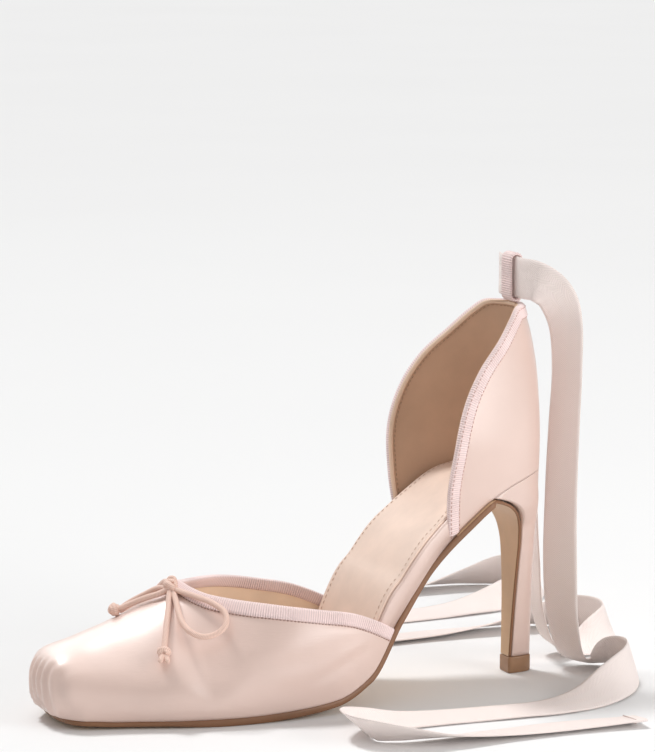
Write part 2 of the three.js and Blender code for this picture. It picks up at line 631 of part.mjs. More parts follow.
const bandInner = BINDING_WIDTH + CLEAR;
const layers = {
  board: [() => CLEAR, (t) => boardThickness(t), 0, 6, 206],
  sock: [(t) => boardThickness(t) + CLEAR, (t) => boardThickness(t) + CLEAR + SOCK, SOCK_INSET, 8, 205],
};
const trimmed = (layer) => insoleLayer(...layer).subtract(vampRoom).subtract(counterRoom);

const pieces = [
  ['outsole', outsole(heelBlank), LEATHER],
  ['heel', heelBlank.intersect(belowSeat(0)), SATIN],
  ['top_lift', topLift(), LIFT_RUBBER],
  ['insole_board', trimmed(layers.board), SATIN],
  ['insole_sock', trimmed(layers.sock), SOCK_SUEDE],
  ['vamp', vampShell.intersect(belowTopline(-bandInner)), SATIN],
  ['vamp_binding', vampBand.intersect(belowTopline(0)).subtract(belowTopline(-BINDING_WIDTH)), GROSGRAIN],
  ['counter', counterShell.intersect(behindWing(-bandInner)), SATIN],
  ['counter_binding', counterBand.intersect(behindWing(0)).subtract(behindWing(-BINDING_WIDTH)), GROSGRAIN],
  ['heel_loop', heelLoop(), GROSGRAIN],
  ['bow_knot', bowKnot(), ELASTIC],
  ['bow_loop_outer', strand(BOW_LOOP_OUTER, LOOP_STEPS), ELASTIC],
  ['bow_loop_inner', strand(BOW_LOOP_INNER, LOOP_STEPS), ELASTIC],
  ['bow_end_outer', endStrand(BOW_END_OUTER), ELASTIC],
  ['bow_end_inner', endStrand(BOW_END_INNER), ELASTIC],
  ['ankle_tie_outer', tie(TIE_OUTER), TWILL],
  ['ankle_tie_inner', tie(TIE_INNER), TWILL],
];

const shoe = new THREE.Group();
for (const [name, body, finish] of pieces) {
  const mesh = new THREE.Mesh(geometryOf(body), new THREE.MeshStandardMaterial(finish));
  mesh.name = name;
  shoe.add(mesh);
}

export default shoe;
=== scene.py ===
"""Ballet heel, left shoe: satin upper with ribbed binding, cord bow, covered stiletto, ribbon on the floor.

Shapes are worked out in millimetres from the same tables as the solids and written to meshes in metres.
+X runs from toe to heel, -Y is the outer side that faces the camera, +Z is up.
"""
import math

import bmesh
import bpy
import numpy as np
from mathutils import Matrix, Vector


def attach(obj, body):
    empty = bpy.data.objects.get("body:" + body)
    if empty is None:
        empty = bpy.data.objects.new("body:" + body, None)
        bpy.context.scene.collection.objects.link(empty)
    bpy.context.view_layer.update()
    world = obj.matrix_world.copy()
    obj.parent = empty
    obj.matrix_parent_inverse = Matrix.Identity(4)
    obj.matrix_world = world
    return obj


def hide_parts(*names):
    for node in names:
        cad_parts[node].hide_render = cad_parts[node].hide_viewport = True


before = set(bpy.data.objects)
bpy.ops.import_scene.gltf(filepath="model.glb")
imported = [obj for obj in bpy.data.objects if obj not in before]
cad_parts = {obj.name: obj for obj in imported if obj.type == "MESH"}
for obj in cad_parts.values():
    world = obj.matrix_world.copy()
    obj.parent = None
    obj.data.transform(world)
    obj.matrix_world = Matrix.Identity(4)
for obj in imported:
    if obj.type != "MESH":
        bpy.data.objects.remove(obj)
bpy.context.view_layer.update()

MM = 0.001

# Driving dimensions, mm
LENGTH = 212
TOE_X = -LENGTH / 2
WALL = 1.8
SOLE_TOE = 2.0
SOLE_FORE = 3.0
SOLE_WAIST = 2.4
FLAP = 1.5
BOARD_FORE = 3.0
BOARD_WAIST = 7.4
BOARD_SEAT = 4.0
SOCK = 1.2
SOCK_INSET = 1.4
BINDING_WIDTH = 4.6
BINDING_PROUD = 0.6
RIB = 0.95
LIFT_HEIGHT = 6.6
TAB_TOP = 149
CORD_RADIUS = 1.15  # of the plaited cover
TIE_WIDTH = 16
TIE_THICK = 0.9
GAP = 0.3
HEM = 5.0
SATIN_THICK = 0.9
LINING_THICK = 0.5
SOLE_BEVEL = 0.35
LIFT_POWER = 2.8
KNOT_DROP = 1.3  # down to where the strands meet

# Bottom of the last: station behind the toe tip, height of the seat, outer and inner half width
BOTTOM = (
    (0, 5.8, 15.5, 9), (8, 4.3, 17.6, 16.6), (18, 3.5, 19.8, 22.6), (28, 3, 22.8, 28), (50, 3, 31, 34),
    (70, 3, 35.2, 36), (92, 3.9, 36.8, 34), (110, 5.7, 35.6, 29.5), (125, 12.6, 33, 26),
    (140, 34.2, 29.6, 23.4), (155, 53.3, 27, 22.6), (170, 66.5, 26.4, 24), (184, 76.5, 26, 24.6),
    (198, 81.5, 25.4, 24.8), (212, 84, 25, 25),
)

# Top of the forepart: station, crown, boxiness of the section, swell of the wall, drop of the shoulders
FOREPART = (
    (0, 24.4, 4.5, 1, 0), (10, 29, 5, 1.6, 4), (18, 31.3, 5.5, 2.2, 8), (26, 33.7, 6, 2.6, 11),
    (36, 37.2, 6, 2.8, 15.5), (48, 42.5, 5.5, 3, 20), (60, 49.2, 3.2, 3, 29), (80, 61, 2.5, 2.6, 14),
    (100, 75, 2.5, 2, 4), (120, 91, 2.4, 1.4, 0), (150, 116, 2.4, 1, 0),
)
TOE_START = 0.6
TOE_PLAN = 11
TOE_PLAN_POWER = 3
TOE_TOP = 7
TOE_UNDER = 5
TOE_ROUND = 2.2
TOE_TIP = 16.5
TOE_TUCK = 7.4
CHIN_TUCK = 0.26  # share by which the satin narrows under the toe
SHOULDER_POWER = 1.8

# Top edge of the vamp and front edge of the counter in side view: x, z
TOPLINE = (
    (TOE_X + 57.6, 62), (TOE_X + 58.4, 54), (TOE_X + 60.6, 49.4), (TOE_X + 65, 46.8), (TOE_X + 72, 45.4),
    (TOE_X + 88, 43.6), (TOE_X + 104, 41), (TOE_X + 120, 37.5), (TOE_X + 140, 27.8), (TOE_X + 152, 19),
)
WING = (
    (58, 40), (57, 56), (55, 80), (56.8, 100), (61.5, 115), (69, 127), (79, 137), (86, 144.5), (90.5, 148.4),
    (95, TAB_TOP), (112, TAB_TOP),
)

# Counter: height, back, half width. Heel: height, breast, back, half width
COUNTER = (
    (40, 104.5, 25), (62, 105, 26), (80, 105.3, 29), (100, 105, 33), (120, 104, 31.4), (136, 101.6, 29),
    (150, 97.4, 26.5), (160, 93.5, 25),
)
COUNTER_FRONT = 20
COUNTER_POWER = 2.5
HEEL = (
    (7, 95, 104.4, 3.6), (22, 95.6, 104.7, 4.4), (40, 96.3, 105.1, 6), (53, 96.6, 105.4, 7.9),
    (60, 96, 105.5, 9.6), (66, 94, 105.6, 12.4), (70, 90.5, 105.6, 16), (73, 85.5, 105.5, 19.6),
    (75.4, 78, 105.4, 22.4), (77, 70, 105.3, 23.4), (90, 60, 105.3, 25.4),
)
HEEL_POWER = 2.3
LOOP_X = 95.6
LOOP_WIDTH = 8
LOOP_DEEP = 5.6
LOOP_TALL = 19.4
LOOP_WALL = 1.0

# Bow on the vamp: station, turn over the section in degrees, height of the cord's middle above the binding
KNOT = (54.7, 96.8, 3.2)
BOW_LOOP_OUTER = (
    (57.2, 104.1, 1.6), (61.3, 112.5, 2.2), (65.3, 120.2, 3.6), (67.5, 126.7, 5), (66, 130.4, 5.8),
    (61.8, 130.5, 6), (57.3, 129.1, 5.6), (53.7, 126.3, 4.6), (52.6, 121.5, 3.2), (53.2, 114.4, 2.2),
    (54.3, 107, 1.6),
)
BOW_LOOP_INNER = (
    (56.4, 83.8, 1.6), (57.4, 72, 1.5), (56.6, 62.9, 1.5), (53.6, 57.5, 1.5), (49, 55.7, 1.5),
    (45, 57.9, 1.5), (43.6, 63.1, 1.5), (45, 70.3, 1.5), (48.6, 77.7, 1.5), (52.4, 85.8, 1.6),
)
BOW_END_OUTER = (
    (52.3, 104.6, 1.6), (50.3, 111.4, 1.5), (47.7, 118.8, 1.5), (45.4, 125.1, 1.5), (43.9, 129, 1.6),
    (43.2, 131, 2.2),
)
BOW_END_INNER = (
    (51, 94.4, 1.6), (47, 88.5, 1.5), (43, 83.1, 1.5), (39, 79.5, 1.6), (36, 78.1, 2.2),
)

# Ankle ties: x, y, height of the lower edge, plan direction of the width and its tilt in degrees
TIE_OUTER = (
    (95.6, -0.4, 150.9, -60, 90), (95.7, -9, 150.7, -60, 88), (98.5, -16, 150.2, -62, 78),
    (104, -19.6, 146.5, -66, 58), (109, -19, 138, -70, 34), (111.6, -16.5, 122, -72, 14),
    (112.2, -13.5, 100, -70, 4), (112.2, -11.5, 72, -66, 0), (112.6, -10.5, 44, -62, 0),
    (114.5, -10, 20, -68, 0), (119.5, -9.4, 5, -78, 4), (127, -10.5, 0.3, -96, 24),
    (133.5, -17.5, 0.3, -134, 58), (134.5, -29, 0.3, -176, 74), (128, -42, 0.3, -214, 70),
    (116, -52, 0.3, -234, 44), (101, -59.5, 0.3, -248, 16), (84, -63, 0.3, -264, 6),
    (64, -62, 0.3, -274, 4), (42, -60, 0.3, -274, 4), (22, -59.5, 0.3, -268, 10), (6, -62, 0.3, -248, 26),
    (-4, -70, 0.3, -208, 40), (-4, -80, 0.3, -164, 42), (6, -88, 0.3, -118, 34), (24, -91, 0.3, -92, 16),
    (46, -90, 0.3, -86, 6), (68, -90, 0.3, -90, 4), (88, -91.5, 0.3, -96, 5), (103, -93.5, 0.3, -98, 8),
)
TIE_INNER = (
    (95.6, 0.4, 150.9, 60, 90), (95.7, 9, 150.7, 60, 88), (98.5, 16, 150.2, 62, 78),
    (104, 19.6, 146.5, 66, 58), (109, 19.4, 138, 70, 34), (111.6, 17.6, 122, 74, 14),
    (112.2, 15.6, 100, 76, 4), (112.4, 14, 72, 78, 0), (113, 13, 44, 80, 0), (115, 13, 20, 82, 2),
    (122, 14, 5, 86, 4), (136, 16, 0.3, 92, 16), (148, 20, 0.3, 112, 44), (157, 29, 0.3, 146, 68),
    (159, 42, 0.3, 184, 74), (152, 55, 0.3, 228, 66), (138, 62, 0.3, 256, 40), (118, 65, 0.3, 266, 16),
    (86, 66.5, 0.3, 269, 5), (54, 66, 0.3, 271, 4), (22, 64.5, 0.3, 271, 6), (-4, 66, 0.3, 260, 24),
    (-22, 73, 0.3, 226, 54), (-29, 86, 0.3, 180, 64), (-21, 98, 0.3, 130, 56), (-4, 104, 0.3, 98, 28),
    (24, 104, 0.3, 88, 6), (56, 102, 0.3, 87, 4), (90, 101, 0.3, 90, 4), (122, 102, 0.3, 93, 8),
    (148, 105, 0.3, 104, 32), (166, 113, 0.3, 132, 62), (173, 127, 0.3, 180, 74), (165, 140, 0.3, 228, 64),
    (147, 146, 0.3, 256, 36), (120, 147, 0.3, 268, 10), (90, 147, 0.3, 270, 4), (62, 149, 0.3, 265, 5),
    (40, 152.5, 0.3, 260, 6),
)

# Soft creases of the satin on the outer and inner wall: start station and height, end station and height,
# half width and height of the fold (below zero is a trough)
CREASES = (
    (62, 21, 104, 23, 3.2, -0.30), (70, 27, 112, 31, 3.6, 0.26), (96, 13, 124, 24, 2.6, -0.30),
    (104, 20, 128, 29, 2.4, 0.24), (34, 10, 60, 12, 3.0, -0.18), (100, 35, 126, 32, 1.6, -0.22),
)
GATHER_PITCH = 5.2
GATHER_DEPTH = 0.65
GATHER_REACH = 8.0
GATHER_LOW = (1, 5)  # heights between which the gathers start
GATHER_HIGH = (21, 27)  # and end
INNER_CREASE = 0.7  # depth beside the outer wall's creases

# Stations over which the sole's and the board's thickness and the insole's width change, and where layers end
SOLE_TOE_ENDS = (40, 66)
SOLE_WAIST_STARTS = (85, 130)
WAIST_STARTS = (112, 132)
WAIST_ENDS = (168, 190)
OPEN_STARTS = (132, 139)
OPEN_ENDS = (161, 165)
CUP_STARTS = (165, 178)
LEVEL_STARTS = (100, 120)
LEVEL_ENDS = (165, 180)
BOARD_ENDS = (12, 205)
SOCK_ENDS = (13, 204)
SOCK_SEAM_ENDS = (112, 196)
INSOLE_ROOM = 3.1
INSOLE_ROUND = 12
LINING_FACE = -2.4  # off the counter's outside

# Camera, fitted to the photograph: direction, distance and the pixel that the target falls on
IMAGE = (655, 752)
CAMERA_AZIMUTH = -23.74
CAMERA_ELEVATION = 11.71
CAMERA_TARGET = (0, 0, 60)
CAMERA_DISTANCE = 1383
CAMERA_PIXELS_PER_MM = 2.589
TARGET_PIXEL = (289.13, 543.83)
SENSOR = 36

# Studio
FLOOR_GREY = 0.86
FLOOR_CLOUD = 0.005 / FLOOR_GREY
FLOOR_HALF = 14  # metres
WORLD_STRENGTH = 0.49

# Samples
EDGE_CROWD = 2.5  # crowds an edge's samples where it turns fastest
EDGE_STEPS = 900
SECTION_STEPS = 260
VAMP_ROWS = 46
MARGIN_ROWS = 6


# Curves through tables

def cubic(s, step, start, end):
    """Curve from 0 to a step as s runs to 1, with a slope at its start and end."""
    return s * s * (3 - 2 * s) * step + s * (1 - s) ** 2 * start + s * s * (s - 1) * end


def through(rows, column):
    """Smooth curve from a table's first column to another one; it never overshoots between rows."""
    x = np.array([row[0] for row in rows], float)
    y = np.array([row[column] for row in rows], float)
    rise = np.diff(y) / np.diff(x)
    pair = rise[:-1] * rise[1:]
    total = np.where(pair > 0, rise[:-1] + rise[1:], 1)
    slope = np.concatenate(([rise[0]], np.where(pair > 0, 2 * pair / total, 0), [rise[-1]]))

    def at(value):
        value = np.asarray(value, float)
        inside = np.clip(value, x[0], x[-1])
        i = np.clip(np.searchsorted(x, inside, side="right") - 1, 0, len(x) - 2)
        span = x[i + 1] - x[i]
        s = (inside - x[i]) / span
        curve = y[i] + cubic(s, y[i + 1] - y[i], span * slope[i], span * slope[i + 1])
        return curve + np.minimum(value - x[0], 0) * slope[0] + np.maximum(value - x[-1], 0) * slope[-1]

    return at


seat, outer, inner = (through(BOTTOM, column) for column in (1, 2, 3))
crown, boxy, swell, shoulder = (through(FOREPART, column) for column in (1, 2, 3, 4))
counter_back, counter_half = (through(COUNTER, column) for column in (1, 2))
heel_breast, heel_back, heel_half = (through(HEEL, column) for column in (1, 2, 3))


def smooth(low, high, value):
    """Eases from 0 to 1 between two values."""
    s = np.clip((np.asarray(value, float) - low) / (high - low), 0, 1)
    return s * s * (3 - 2 * s)


def bell(value, width):
    return np.exp(-(np.asarray(value, float) / width) ** 2)


def spline(points, steps):
    """Centripetal Catmull-Rom curve through points, with a number of steps for each stretch."""
    p = np.array(points, float)
    p = np.vstack([2 * p[0] - p[1], p, 2 * p[-1] - p[-2]])
    gaps = np.sqrt(steps_of(p))
    s = np.linspace(0, 1, steps, endpoint=False)[:, None]
    line = []
    for i in range(1, len(p) - 2):
        before, here, after = gaps[i - 1:i + 2]
        step = p[i + 1] - p[i]
        start = (p[i] - p[i - 1]) / before - (p[i + 1] - p[i - 1]) / (before + here) + step / here
        end = step / here - (p[i + 2] - p[i]) / (here + after) + (p[i + 2] - p[i + 1]) / after
        line.append(p[i] + cubic(s, step, here * start, here * end))
    return np.vstack(line + [p[-2][None]])


def steps_of(points, axis=0):
    """Distances between neighbours along one axis of a grid of points."""
    return np.linalg.norm(np.diff(points, axis=axis), axis=-1)


def running(steps):
    return np.concatenate(([0], np.cumsum(steps)))


def travel(line):
    """Length run along a line up to each of its points."""
    return running(steps_of(line))


def unit(vectors):
    return vectors / np.linalg.norm(vectors, axis=-1, keepdims=True)


def directions(line):
    return unit(np.gradient(line, axis=0))


def sample(line, at, measure):
    """Points of a line at some values of a measure that runs along it."""
    return np.stack([np.interp(at, measure, line[:, k]) for k in range(line.shape[1])], -1)


def resample(line, count):
    """Evenly spaced points along a line."""
    s = travel(line)
    return sample(line, np.linspace(0, s[-1], count), s)


def beside(line, distance):
    """A side-view line moved to the left of its direction."""
    along = directions(line)
    return line + distance * np.stack([-along[:, 1], along[:, 0]], -1)


def average(values, reach):
    """Moving average over a number of samples to both sides."""
    count = 2 * reach + 1
    return np.convolve(np.pad(values, reach, mode="edge"), np.ones(count) / count, "valid")


def bisect(rises_above, low, high):
    """Where a rising condition starts to hold, for whole arrays at once."""
    for _ in range(44):
        middle = (low + high) / 2
        over = rises_above(middle)
        high = np.where(over, middle, high)
        low = np.where(over, low, middle)
    return (low + high) / 2


# Last

def toe_scale(t, reach, power):
    """Share of its full size that a section has behind a rounded end."""
    left = 1 - np.clip(t / reach, 0, 1)
    return np.maximum(1 - left ** power, 0) ** (1 / power)


def fore_point(t, turn, grow=0.0):
    """Point of the forepart: turn 0 is the inner feather line, 90 degrees the crown, 180 the outer one."""
    behind = t - TOE_START
    plan = toe_scale(behind, TOE_PLAN, TOE_PLAN_POWER)
    top = toe_scale(behind, TOE_TOP, TOE_ROUND)
    side = np.cos(turn)
    rise = np.maximum(np.sin(turn), 0)
    reach = (np.abs(side) ** boxy(t) + rise ** boxy(t)) ** (-1 / boxy(t))
    share = side * reach
    up = rise * reach
    half = (np.where(side > 0, inner(t), outer(t)) + grow) * plan
    foot = TOE_TIP + (seat(t) - TOE_TIP) * toe_scale(behind, TOE_UNDER, TOE_ROUND)
    head = TOE_TIP + (crown(t) + grow - TOE_TIP) * top
    bulge = swell(t) * plan * 4 * up * (1 - up) * np.minimum(1, np.abs(share) * 3)
    drop = shoulder(t) * top * up * np.abs(share) ** SHOULDER_POWER
    ahead = grow * np.clip(1 - behind / TOE_PLAN, 0, None)
    y = share * half + np.sign(side) * bulge
    z = foot + (head - foot) * up - drop
    return np.stack([TOE_X + t - ahead, y, z], -1)


def side_turn(outside, climb):
    """Turn over the section for a climb from one side's feather line."""
    return math.pi - climb if outside else climb


def fore_climb(t, z, outside, grow):
    """Climb at which one side of the forepart reaches a height."""
    def above(climb):
        return fore_point(t, side_turn(outside, climb), grow)[..., 2] > z

    return bisect(above, np.zeros_like(t), np.full_like(t, math.pi / 2))


def counter_point(x, z, outside, grow=0.0):
    """Point of the counter at a place along the shoe and a height."""
    reach = np.clip((x - COUNTER_FRONT) / (counter_back(z) + grow - COUNTER_FRONT), 0, 1)
    y = (counter_half(z) + grow) * np.maximum(1 - reach ** COUNTER_POWER, 0) ** (1 / COUNTER_POWER)
    return np.stack([x, -y if outside else y, z], -1)


topline = resample(spline(TOPLINE, 40), 1600)
wingline = resample(spline(WING, 40), 1600)


def edge_stretch(line, signed, first, last):
    """Places x and z along a side-view line, from where a signed distance crosses zero to a last point."""
    s = travel(line)
    share = signed[first] / (signed[first] - signed[first - 1])
    start = s[first] - share * (s[first] - s[first - 1])
    at = start + (s[last] - start) * np.linspace(0, 1, EDGE_STEPS) ** EDGE_CROWD
    return sample(line, at, s).T


def vamp_edge(offset, grow, outside, count):
    """Line on one side of the vamp below its top edge, from the crown to its end."""
    line = beside(topline, -offset)
    t = line[:, 0] - TOE_X
    height = crown(t) + grow - line[:, 1]
    x, z = edge_stretch(line, height, np.argmax(height > 0), np.argmax(line[:, 1] < seat(t) + GAP))
    t = x - TOE_X
    turn = side_turn(outside, fore_climb(t, z, outside, grow))
    return resample(fore_point(t, turn, grow), count)


def counter_edge(offset, grow, outside, count):
    """Line on one side of the counter behind its front edge, from the tab's middle down to the seat."""
    line = beside(wingline, -offset)
    over = counter_back(line[:, 1]) + grow - line[:, 0]
    last = np.argmax(line[:, 1] > seat(line[:, 0] - TOE_X) + GAP)
    x, z = edge_stretch(line, over, np.argmax(over < 0), last)
    return resample(counter_point(x, z, outside, grow), count)


def both_sides(edge, offset, grow, count):
    """An edge line from the outer end over the middle to the inner end."""
    away = edge(offset, grow, True, count)
    near = edge(offset, grow, False, count)
    return np.vstack([away[::-1], near[1:]])


# Meshes

def normals_of(points):
    """Normals of a grid of points."""
    n = np.cross(np.gradient(points, axis=0), np.gradient(points, axis=1))
    return n / np.maximum(np.linalg.norm(n, axis=-1, keepdims=True), 1e-9)


def wrapped(grid, loop):
    """A grid, with its first column repeated at the end where it closes to rings."""
    return np.concatenate([grid, grid[:, :1]], axis=1) if loop else grid


def quads(grid, flip):
    """Values of a grid at the four corners of each face."""
    corners = np.stack([grid[:-1, :-1], grid[:-1, 1:], grid[1:, 1:], grid[1:, :-1]], 2)
    corners = corners.reshape(-1, 4, *grid.shape[2:])
    return corners[:, ::-1] if flip else corners


def unrolled(points):
    """Lengths along the rows and columns of a grid, in metres."""
    u = running(steps_of(points, 0).mean(axis=1)) * MM
    v = running(steps_of(points, 1).max(axis=0)) * MM
    return np.stack(np.meshgrid(u, v, indexing="ij"), -1)


def put(name, data):
    """A new object in the scene."""
    obj = bpy.data.objects.new(name, data)
    bpy.context.scene.collection.objects.link(obj)
    return obj


def piece(name, grids, material, replaces=(), loop=False, caps=False, weld=False, flip_first=False):
    """One object from grids of points in mm; the faces of the first grid may be turned round."""
    verts, faces, uvs = [], [], []
    base = 0
    for k, points in enumerate(grids):
        rows, cols = points.shape[:2]
        flip = flip_first and k == 0
        index = base + np.arange(rows * cols).reshape(rows, cols)
        verts.append(points.reshape(-1, 3) * MM)
        faces += quads(wrapped(index, loop), flip).tolist()
        uvs.append(quads(unrolled(wrapped(points, loop)), flip).reshape(-1, 2))
        if caps:
            faces += [index[0].tolist(), index[-1][::-1].tolist()]
            uvs.append(np.zeros((2 * cols, 2)))
        base += rows * cols
    mesh = bpy.data.meshes.new(name)
    mesh.from_pydata(np.vstack(verts).tolist(), [], faces)
    mesh.uv_layers.new(name="UVMap").data.foreach_set("uv", np.vstack(uvs).ravel())
    if weld or loop:
        clean(mesh, weld, loop)
    mesh.shade_smooth()
    obj = put(name, mesh)
    mesh.materials.append(material)
    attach(obj, "root")
    if replaces:
        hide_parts(*replaces)
    return obj


def solid(name, grids, material, slot, *replaces):
    """A piece of closed rings with capped ends."""
    return piece(name, grids, material, replaces, loop=True, caps=True)


def shell(name, half, settings, material, replaces, thickness):
    """A hollow piece from its outer and inner half, with a thickness."""
    halves = [half(outside, *settings) for outside in (True, False)]
    obj = piece(name, halves, material, replaces, weld=True, flip_first=True)
    wall = obj.modifiers.new("thickness", "SOLIDIFY")
    wall.thickness = thickness * MM
    wall.offset = -1


def clean(mesh, weld, closed):
    """Joins grids that share an edge and turns the faces of a closed piece outwards."""
    bm = bmesh.new()
    bm.from_mesh(mesh)
    if weld:
        bmesh.ops.remove_doubles(bm, verts=bm.verts, dist=1e-6)
    if closed:
        bmesh.ops.recalc_face_normals(bm, faces=bm.faces)
    bm.to_mesh(mesh)
    bm.free()


def tube_grid(path, radius, sides=12):
    """Rings around a path, with a frame that doesn't twist. Radius may change along it."""
    along = directions(path)
    radius = np.broadcast_to(radius, len(path))
    side = np.cross(along[0], (0.3, 0.2, 1.0))
    turns = np.linspace(0, 2 * math.pi, sides, endpoint=False)[:, None]
    rings = []
    for point, direction, size in zip(path, along, radius):
        side = unit(side - direction * (side @ direction))
        other = np.cross(direction, side)
        rings.append(point + size * (np.cos(turns) * side + np.sin(turns) * other))
    return np.array(rings)


# Materials

def new_material(name, color, roughness, sheen=0.0, coat=0.0, specular=0.5):
    mat = bpy.data.materials.new(name)
    mat.use_nodes = True
    shader = mat.node_tree.nodes["Principled BSDF"]
    values = {
        "Base Color": (*color, 1), "Roughness": roughness, "Specular IOR Level": specular,
        "Sheen Weight": sheen, "Sheen Roughness": 0.4, "Coat Weight": coat, "Coat Roughness": 0.35,
    }
    for key, value in values.items():
        shader.inputs[key].default_value = value
    return mat, mat.node_tree, shader


def add(tree, kind, values=(), **settings):
    """A node with some of its settings and inputs filled in; a value may be another node's output."""
    node = tree.nodes.new(kind)
    for key, value in settings.items():
        setattr(node, key, value)
    for key, value in dict(values).items():
        if isinstance(value, bpy.types.NodeSocket):
            tree.links.new(value, node.inputs[key])
        else:
            node.inputs[key].default_value = value
    return node


def math_node(tree, operation, *values):
    return add(tree, "ShaderNodeMath", dict(enumerate(values)), operation=operation).outputs[0]


def lengths(tree):
    """Lengths along and across the piece, in mm, from its UV map."""
    uv = add(tree, "ShaderNodeUVMap", uv_map="UVMap").outputs[0]
    parts = add(tree, "ShaderNodeSeparateXYZ", {0: uv})
    return [math_node(tree, "MULTIPLY", parts.outputs[k], 1 / MM) for k in (0, 1)]


def cloud(tree, scale, detail=3.0, stretch=(1, 1, 1), roughness=0.55):
    """Noise in the object's own space; scale is in features per metre."""
    place = add(tree, "ShaderNodeTexCoord").outputs["Object"]
    spread = add(tree, "ShaderNodeMapping", {"Vector": place, "Scale": stretch}).outputs[0]
    values = {"Vector": spread, "Scale": scale, "Detail": detail, "Roughness": roughness}
    return add(tree, "ShaderNodeTexNoise", values).outputs["Fac"]


def tint(tree, shader, fac, color, dark, light, low=0.3, high=0.7):
    """Runs a shader's colour from a darker to a lighter shade between two values."""
    node = add(tree, "ShaderNodeValToRGB", {0: fac})
    for element, place, factor in zip(node.color_ramp.elements, (low, high), (dark, light)):
        element.position = place
        element.color = (*(min(1.0, c * factor) for c in color), 1)
    tree.links.new(node.outputs[0], shader.inputs["Base Color"])


def vary_roughness(tree, shader, fac, low, high):
    values = {"Value": fac, "To Min": low, "To Max": high}
    tree.links.new(add(tree, "ShaderNodeMapRange", values).outputs[0], shader.inputs["Roughness"])


def bump(tree, shader, layers):
    """Stacks height layers, each (height, distance in mm)."""
    normal = None
    for height, distance in layers:
        values = {"Height": height, "Strength": 1.0, "Distance": distance * MM}
        if normal is not None:
            values["Normal"] = normal
        normal = add(tree, "ShaderNodeBump", values).outputs[0]
    tree.links.new(normal, shader.inputs["Normal"])


def wave(tree, length, pitch):
    """Sine of a length in mm, brought to 0..1."""
    swing = math_node(tree, "SINE", math_node(tree, "MULTIPLY", length, 2 * math.pi / pitch))
    return math_node(tree, "MULTIPLY_ADD", swing, 0.5, 0.5)


def satin(name, color):
    mat, tree, shader = new_material(name, color, 0.38, sheen=0.15, coat=0.8, specular=0.9)
    threads = cloud(tree, 700, 2.0, stretch=(0.25, 1, 2.2))
    soft = cloud(tree, 38)
    tint(tree, shader, soft, color, 0.965, 1.02)
    vary_roughness(tree, shader, threads, 0.34, 0.48)
    bump(tree, shader, ((soft, 0.25), (threads, 0.035)))
    return mat


def grosgrain(name, color):
    mat, tree, shader = new_material(name, color, 0.72, sheen=0.3, specular=0.3)
    along, across = lengths(tree)
    ribs = wave(tree, along, RIB)
    threads = wave(tree, across, 0.42)
    fuzz = cloud(tree, 1500, 2.0)
    # painted shade: the colour darkens in the grooves between the ribs and lightens on their crests
    tint(tree, shader, ribs, color, 0.82, 1.04, 0.05, 0.75)
    bump(tree, shader, ((ribs, 0.10), (threads, 0.03), (fuzz, 0.04)))
    return mat


def twill(name, color):
    """Herringbone: slanted threads that change direction every few millimetres across the ribbon."""
    mat, tree, shader = new_material(name, color, 0.66, sheen=0.35, specular=0.3)
    along, across = lengths(tree)
    zigzag = math_node(tree, "PINGPONG", across, 2.7)
    slant = math_node(tree, "MULTIPLY_ADD", zigzag, 1.15, along)
    threads = wave(tree, slant, 0.88)
    fine = wave(tree, across, 0.45)
    soft = cloud(tree, 60)
    faint = math_node(tree, "MULTIPLY", soft, 0.3)
    mixed = math_node(tree, "MULTIPLY_ADD", threads, 0.7, faint)
    tint(tree, shader, mixed, color, 0.90, 1.04, 0.15, 0.8)
    bump(tree, shader, ((soft, 0.3), (threads, 0.09), (fine, 0.02)))
    return mat


def cord_cloth(name, color):
    mat, tree, shader = new_material(name, color, 0.6, sheen=0.3, specular=0.35)
    along, across = lengths(tree)
    plait = wave(tree, math_node(tree, "MULTIPLY_ADD", across, 0.35, along), 0.55)
    tint(tree, shader, plait, color, 0.84, 1.05, 0.1, 0.8)
    bump(tree, shader, ((plait, 0.07),))
    return mat


def hide(name, color, roughness, grain, depth, coat=0.0):
    """Leather or suede: fine grain, cloudy colour."""
    mat, tree, shader = new_material(name, color, roughness, coat=coat, specular=0.35)
    soft = cloud(tree, 45, 4.0)
    pores = cloud(tree, grain, 4.0, roughness=0.65)
    tint(tree, shader, soft, color, 0.90, 1.06, 0.32, 0.68)
    vary_roughness(tree, shader, pores, roughness - 0.08, roughness + 0.1)
    bump(tree, shader, ((pores, depth),))
    return mat


def thread(name, color):
    mat, tree, shader = new_material(name, color, 0.6, sheen=0.2)
    tint(tree, shader, cloud(tree, 2600, 2.0), color, 0.8, 1.1)
    return mat


SATIN = satin("satin_pink", (0.72, 0.53, 0.46))
# the grosgrain's colour carries painted shade in the grooves between its ribs, on the bindings and the heel
# loop
GROSGRAIN = grosgrain("grosgrain_pink", (0.90, 0.71, 0.685))
TWILL = twill("twill_ribbon", (0.97, 0.85, 0.805))
ELASTIC = cord_cloth("bow_cord", (0.86, 0.60, 0.50))
SOLE_FACE = hide("sole_tan", (0.64, 0.425, 0.255), 0.42, 900, 0.03, coat=0.15)
SOLE_EDGE = hide("sole_edge", (0.245, 0.118, 0.06), 0.45, 900, 0.03, coat=0.1)
SOCK_SKIN = hide("sock_nude", (0.86, 0.665, 0.555), 0.6, 1300, 0.04)
LINING = hide("lining_tan", (0.62, 0.41, 0.28), 0.62, 1500, 0.04)
VAMP_LINING = hide("lining_nude", (0.94, 0.75, 0.57), 0.62, 1500, 0.04)
LIFT = hide("lift_brown", (0.36, 0.20, 0.11), 0.4, 700, 0.04, coat=0.2)
DARK_THREAD = thread("thread_dark", (0.33, 0.18, 0.14))
PINK_THREAD = thread("thread_pink", (0.66, 0.42, 0.37))
SOCK_THREAD = thread("thread_nude", (0.66, 0.48, 0.38))
FOLD_EDGE = hide("lining_fold", (0.88, 0.66, 0.50), 0.6, 1500, 0.03)
TAN_THREAD = thread("thread_tan", (0.42, 0.27, 0.18))


# Camera and light

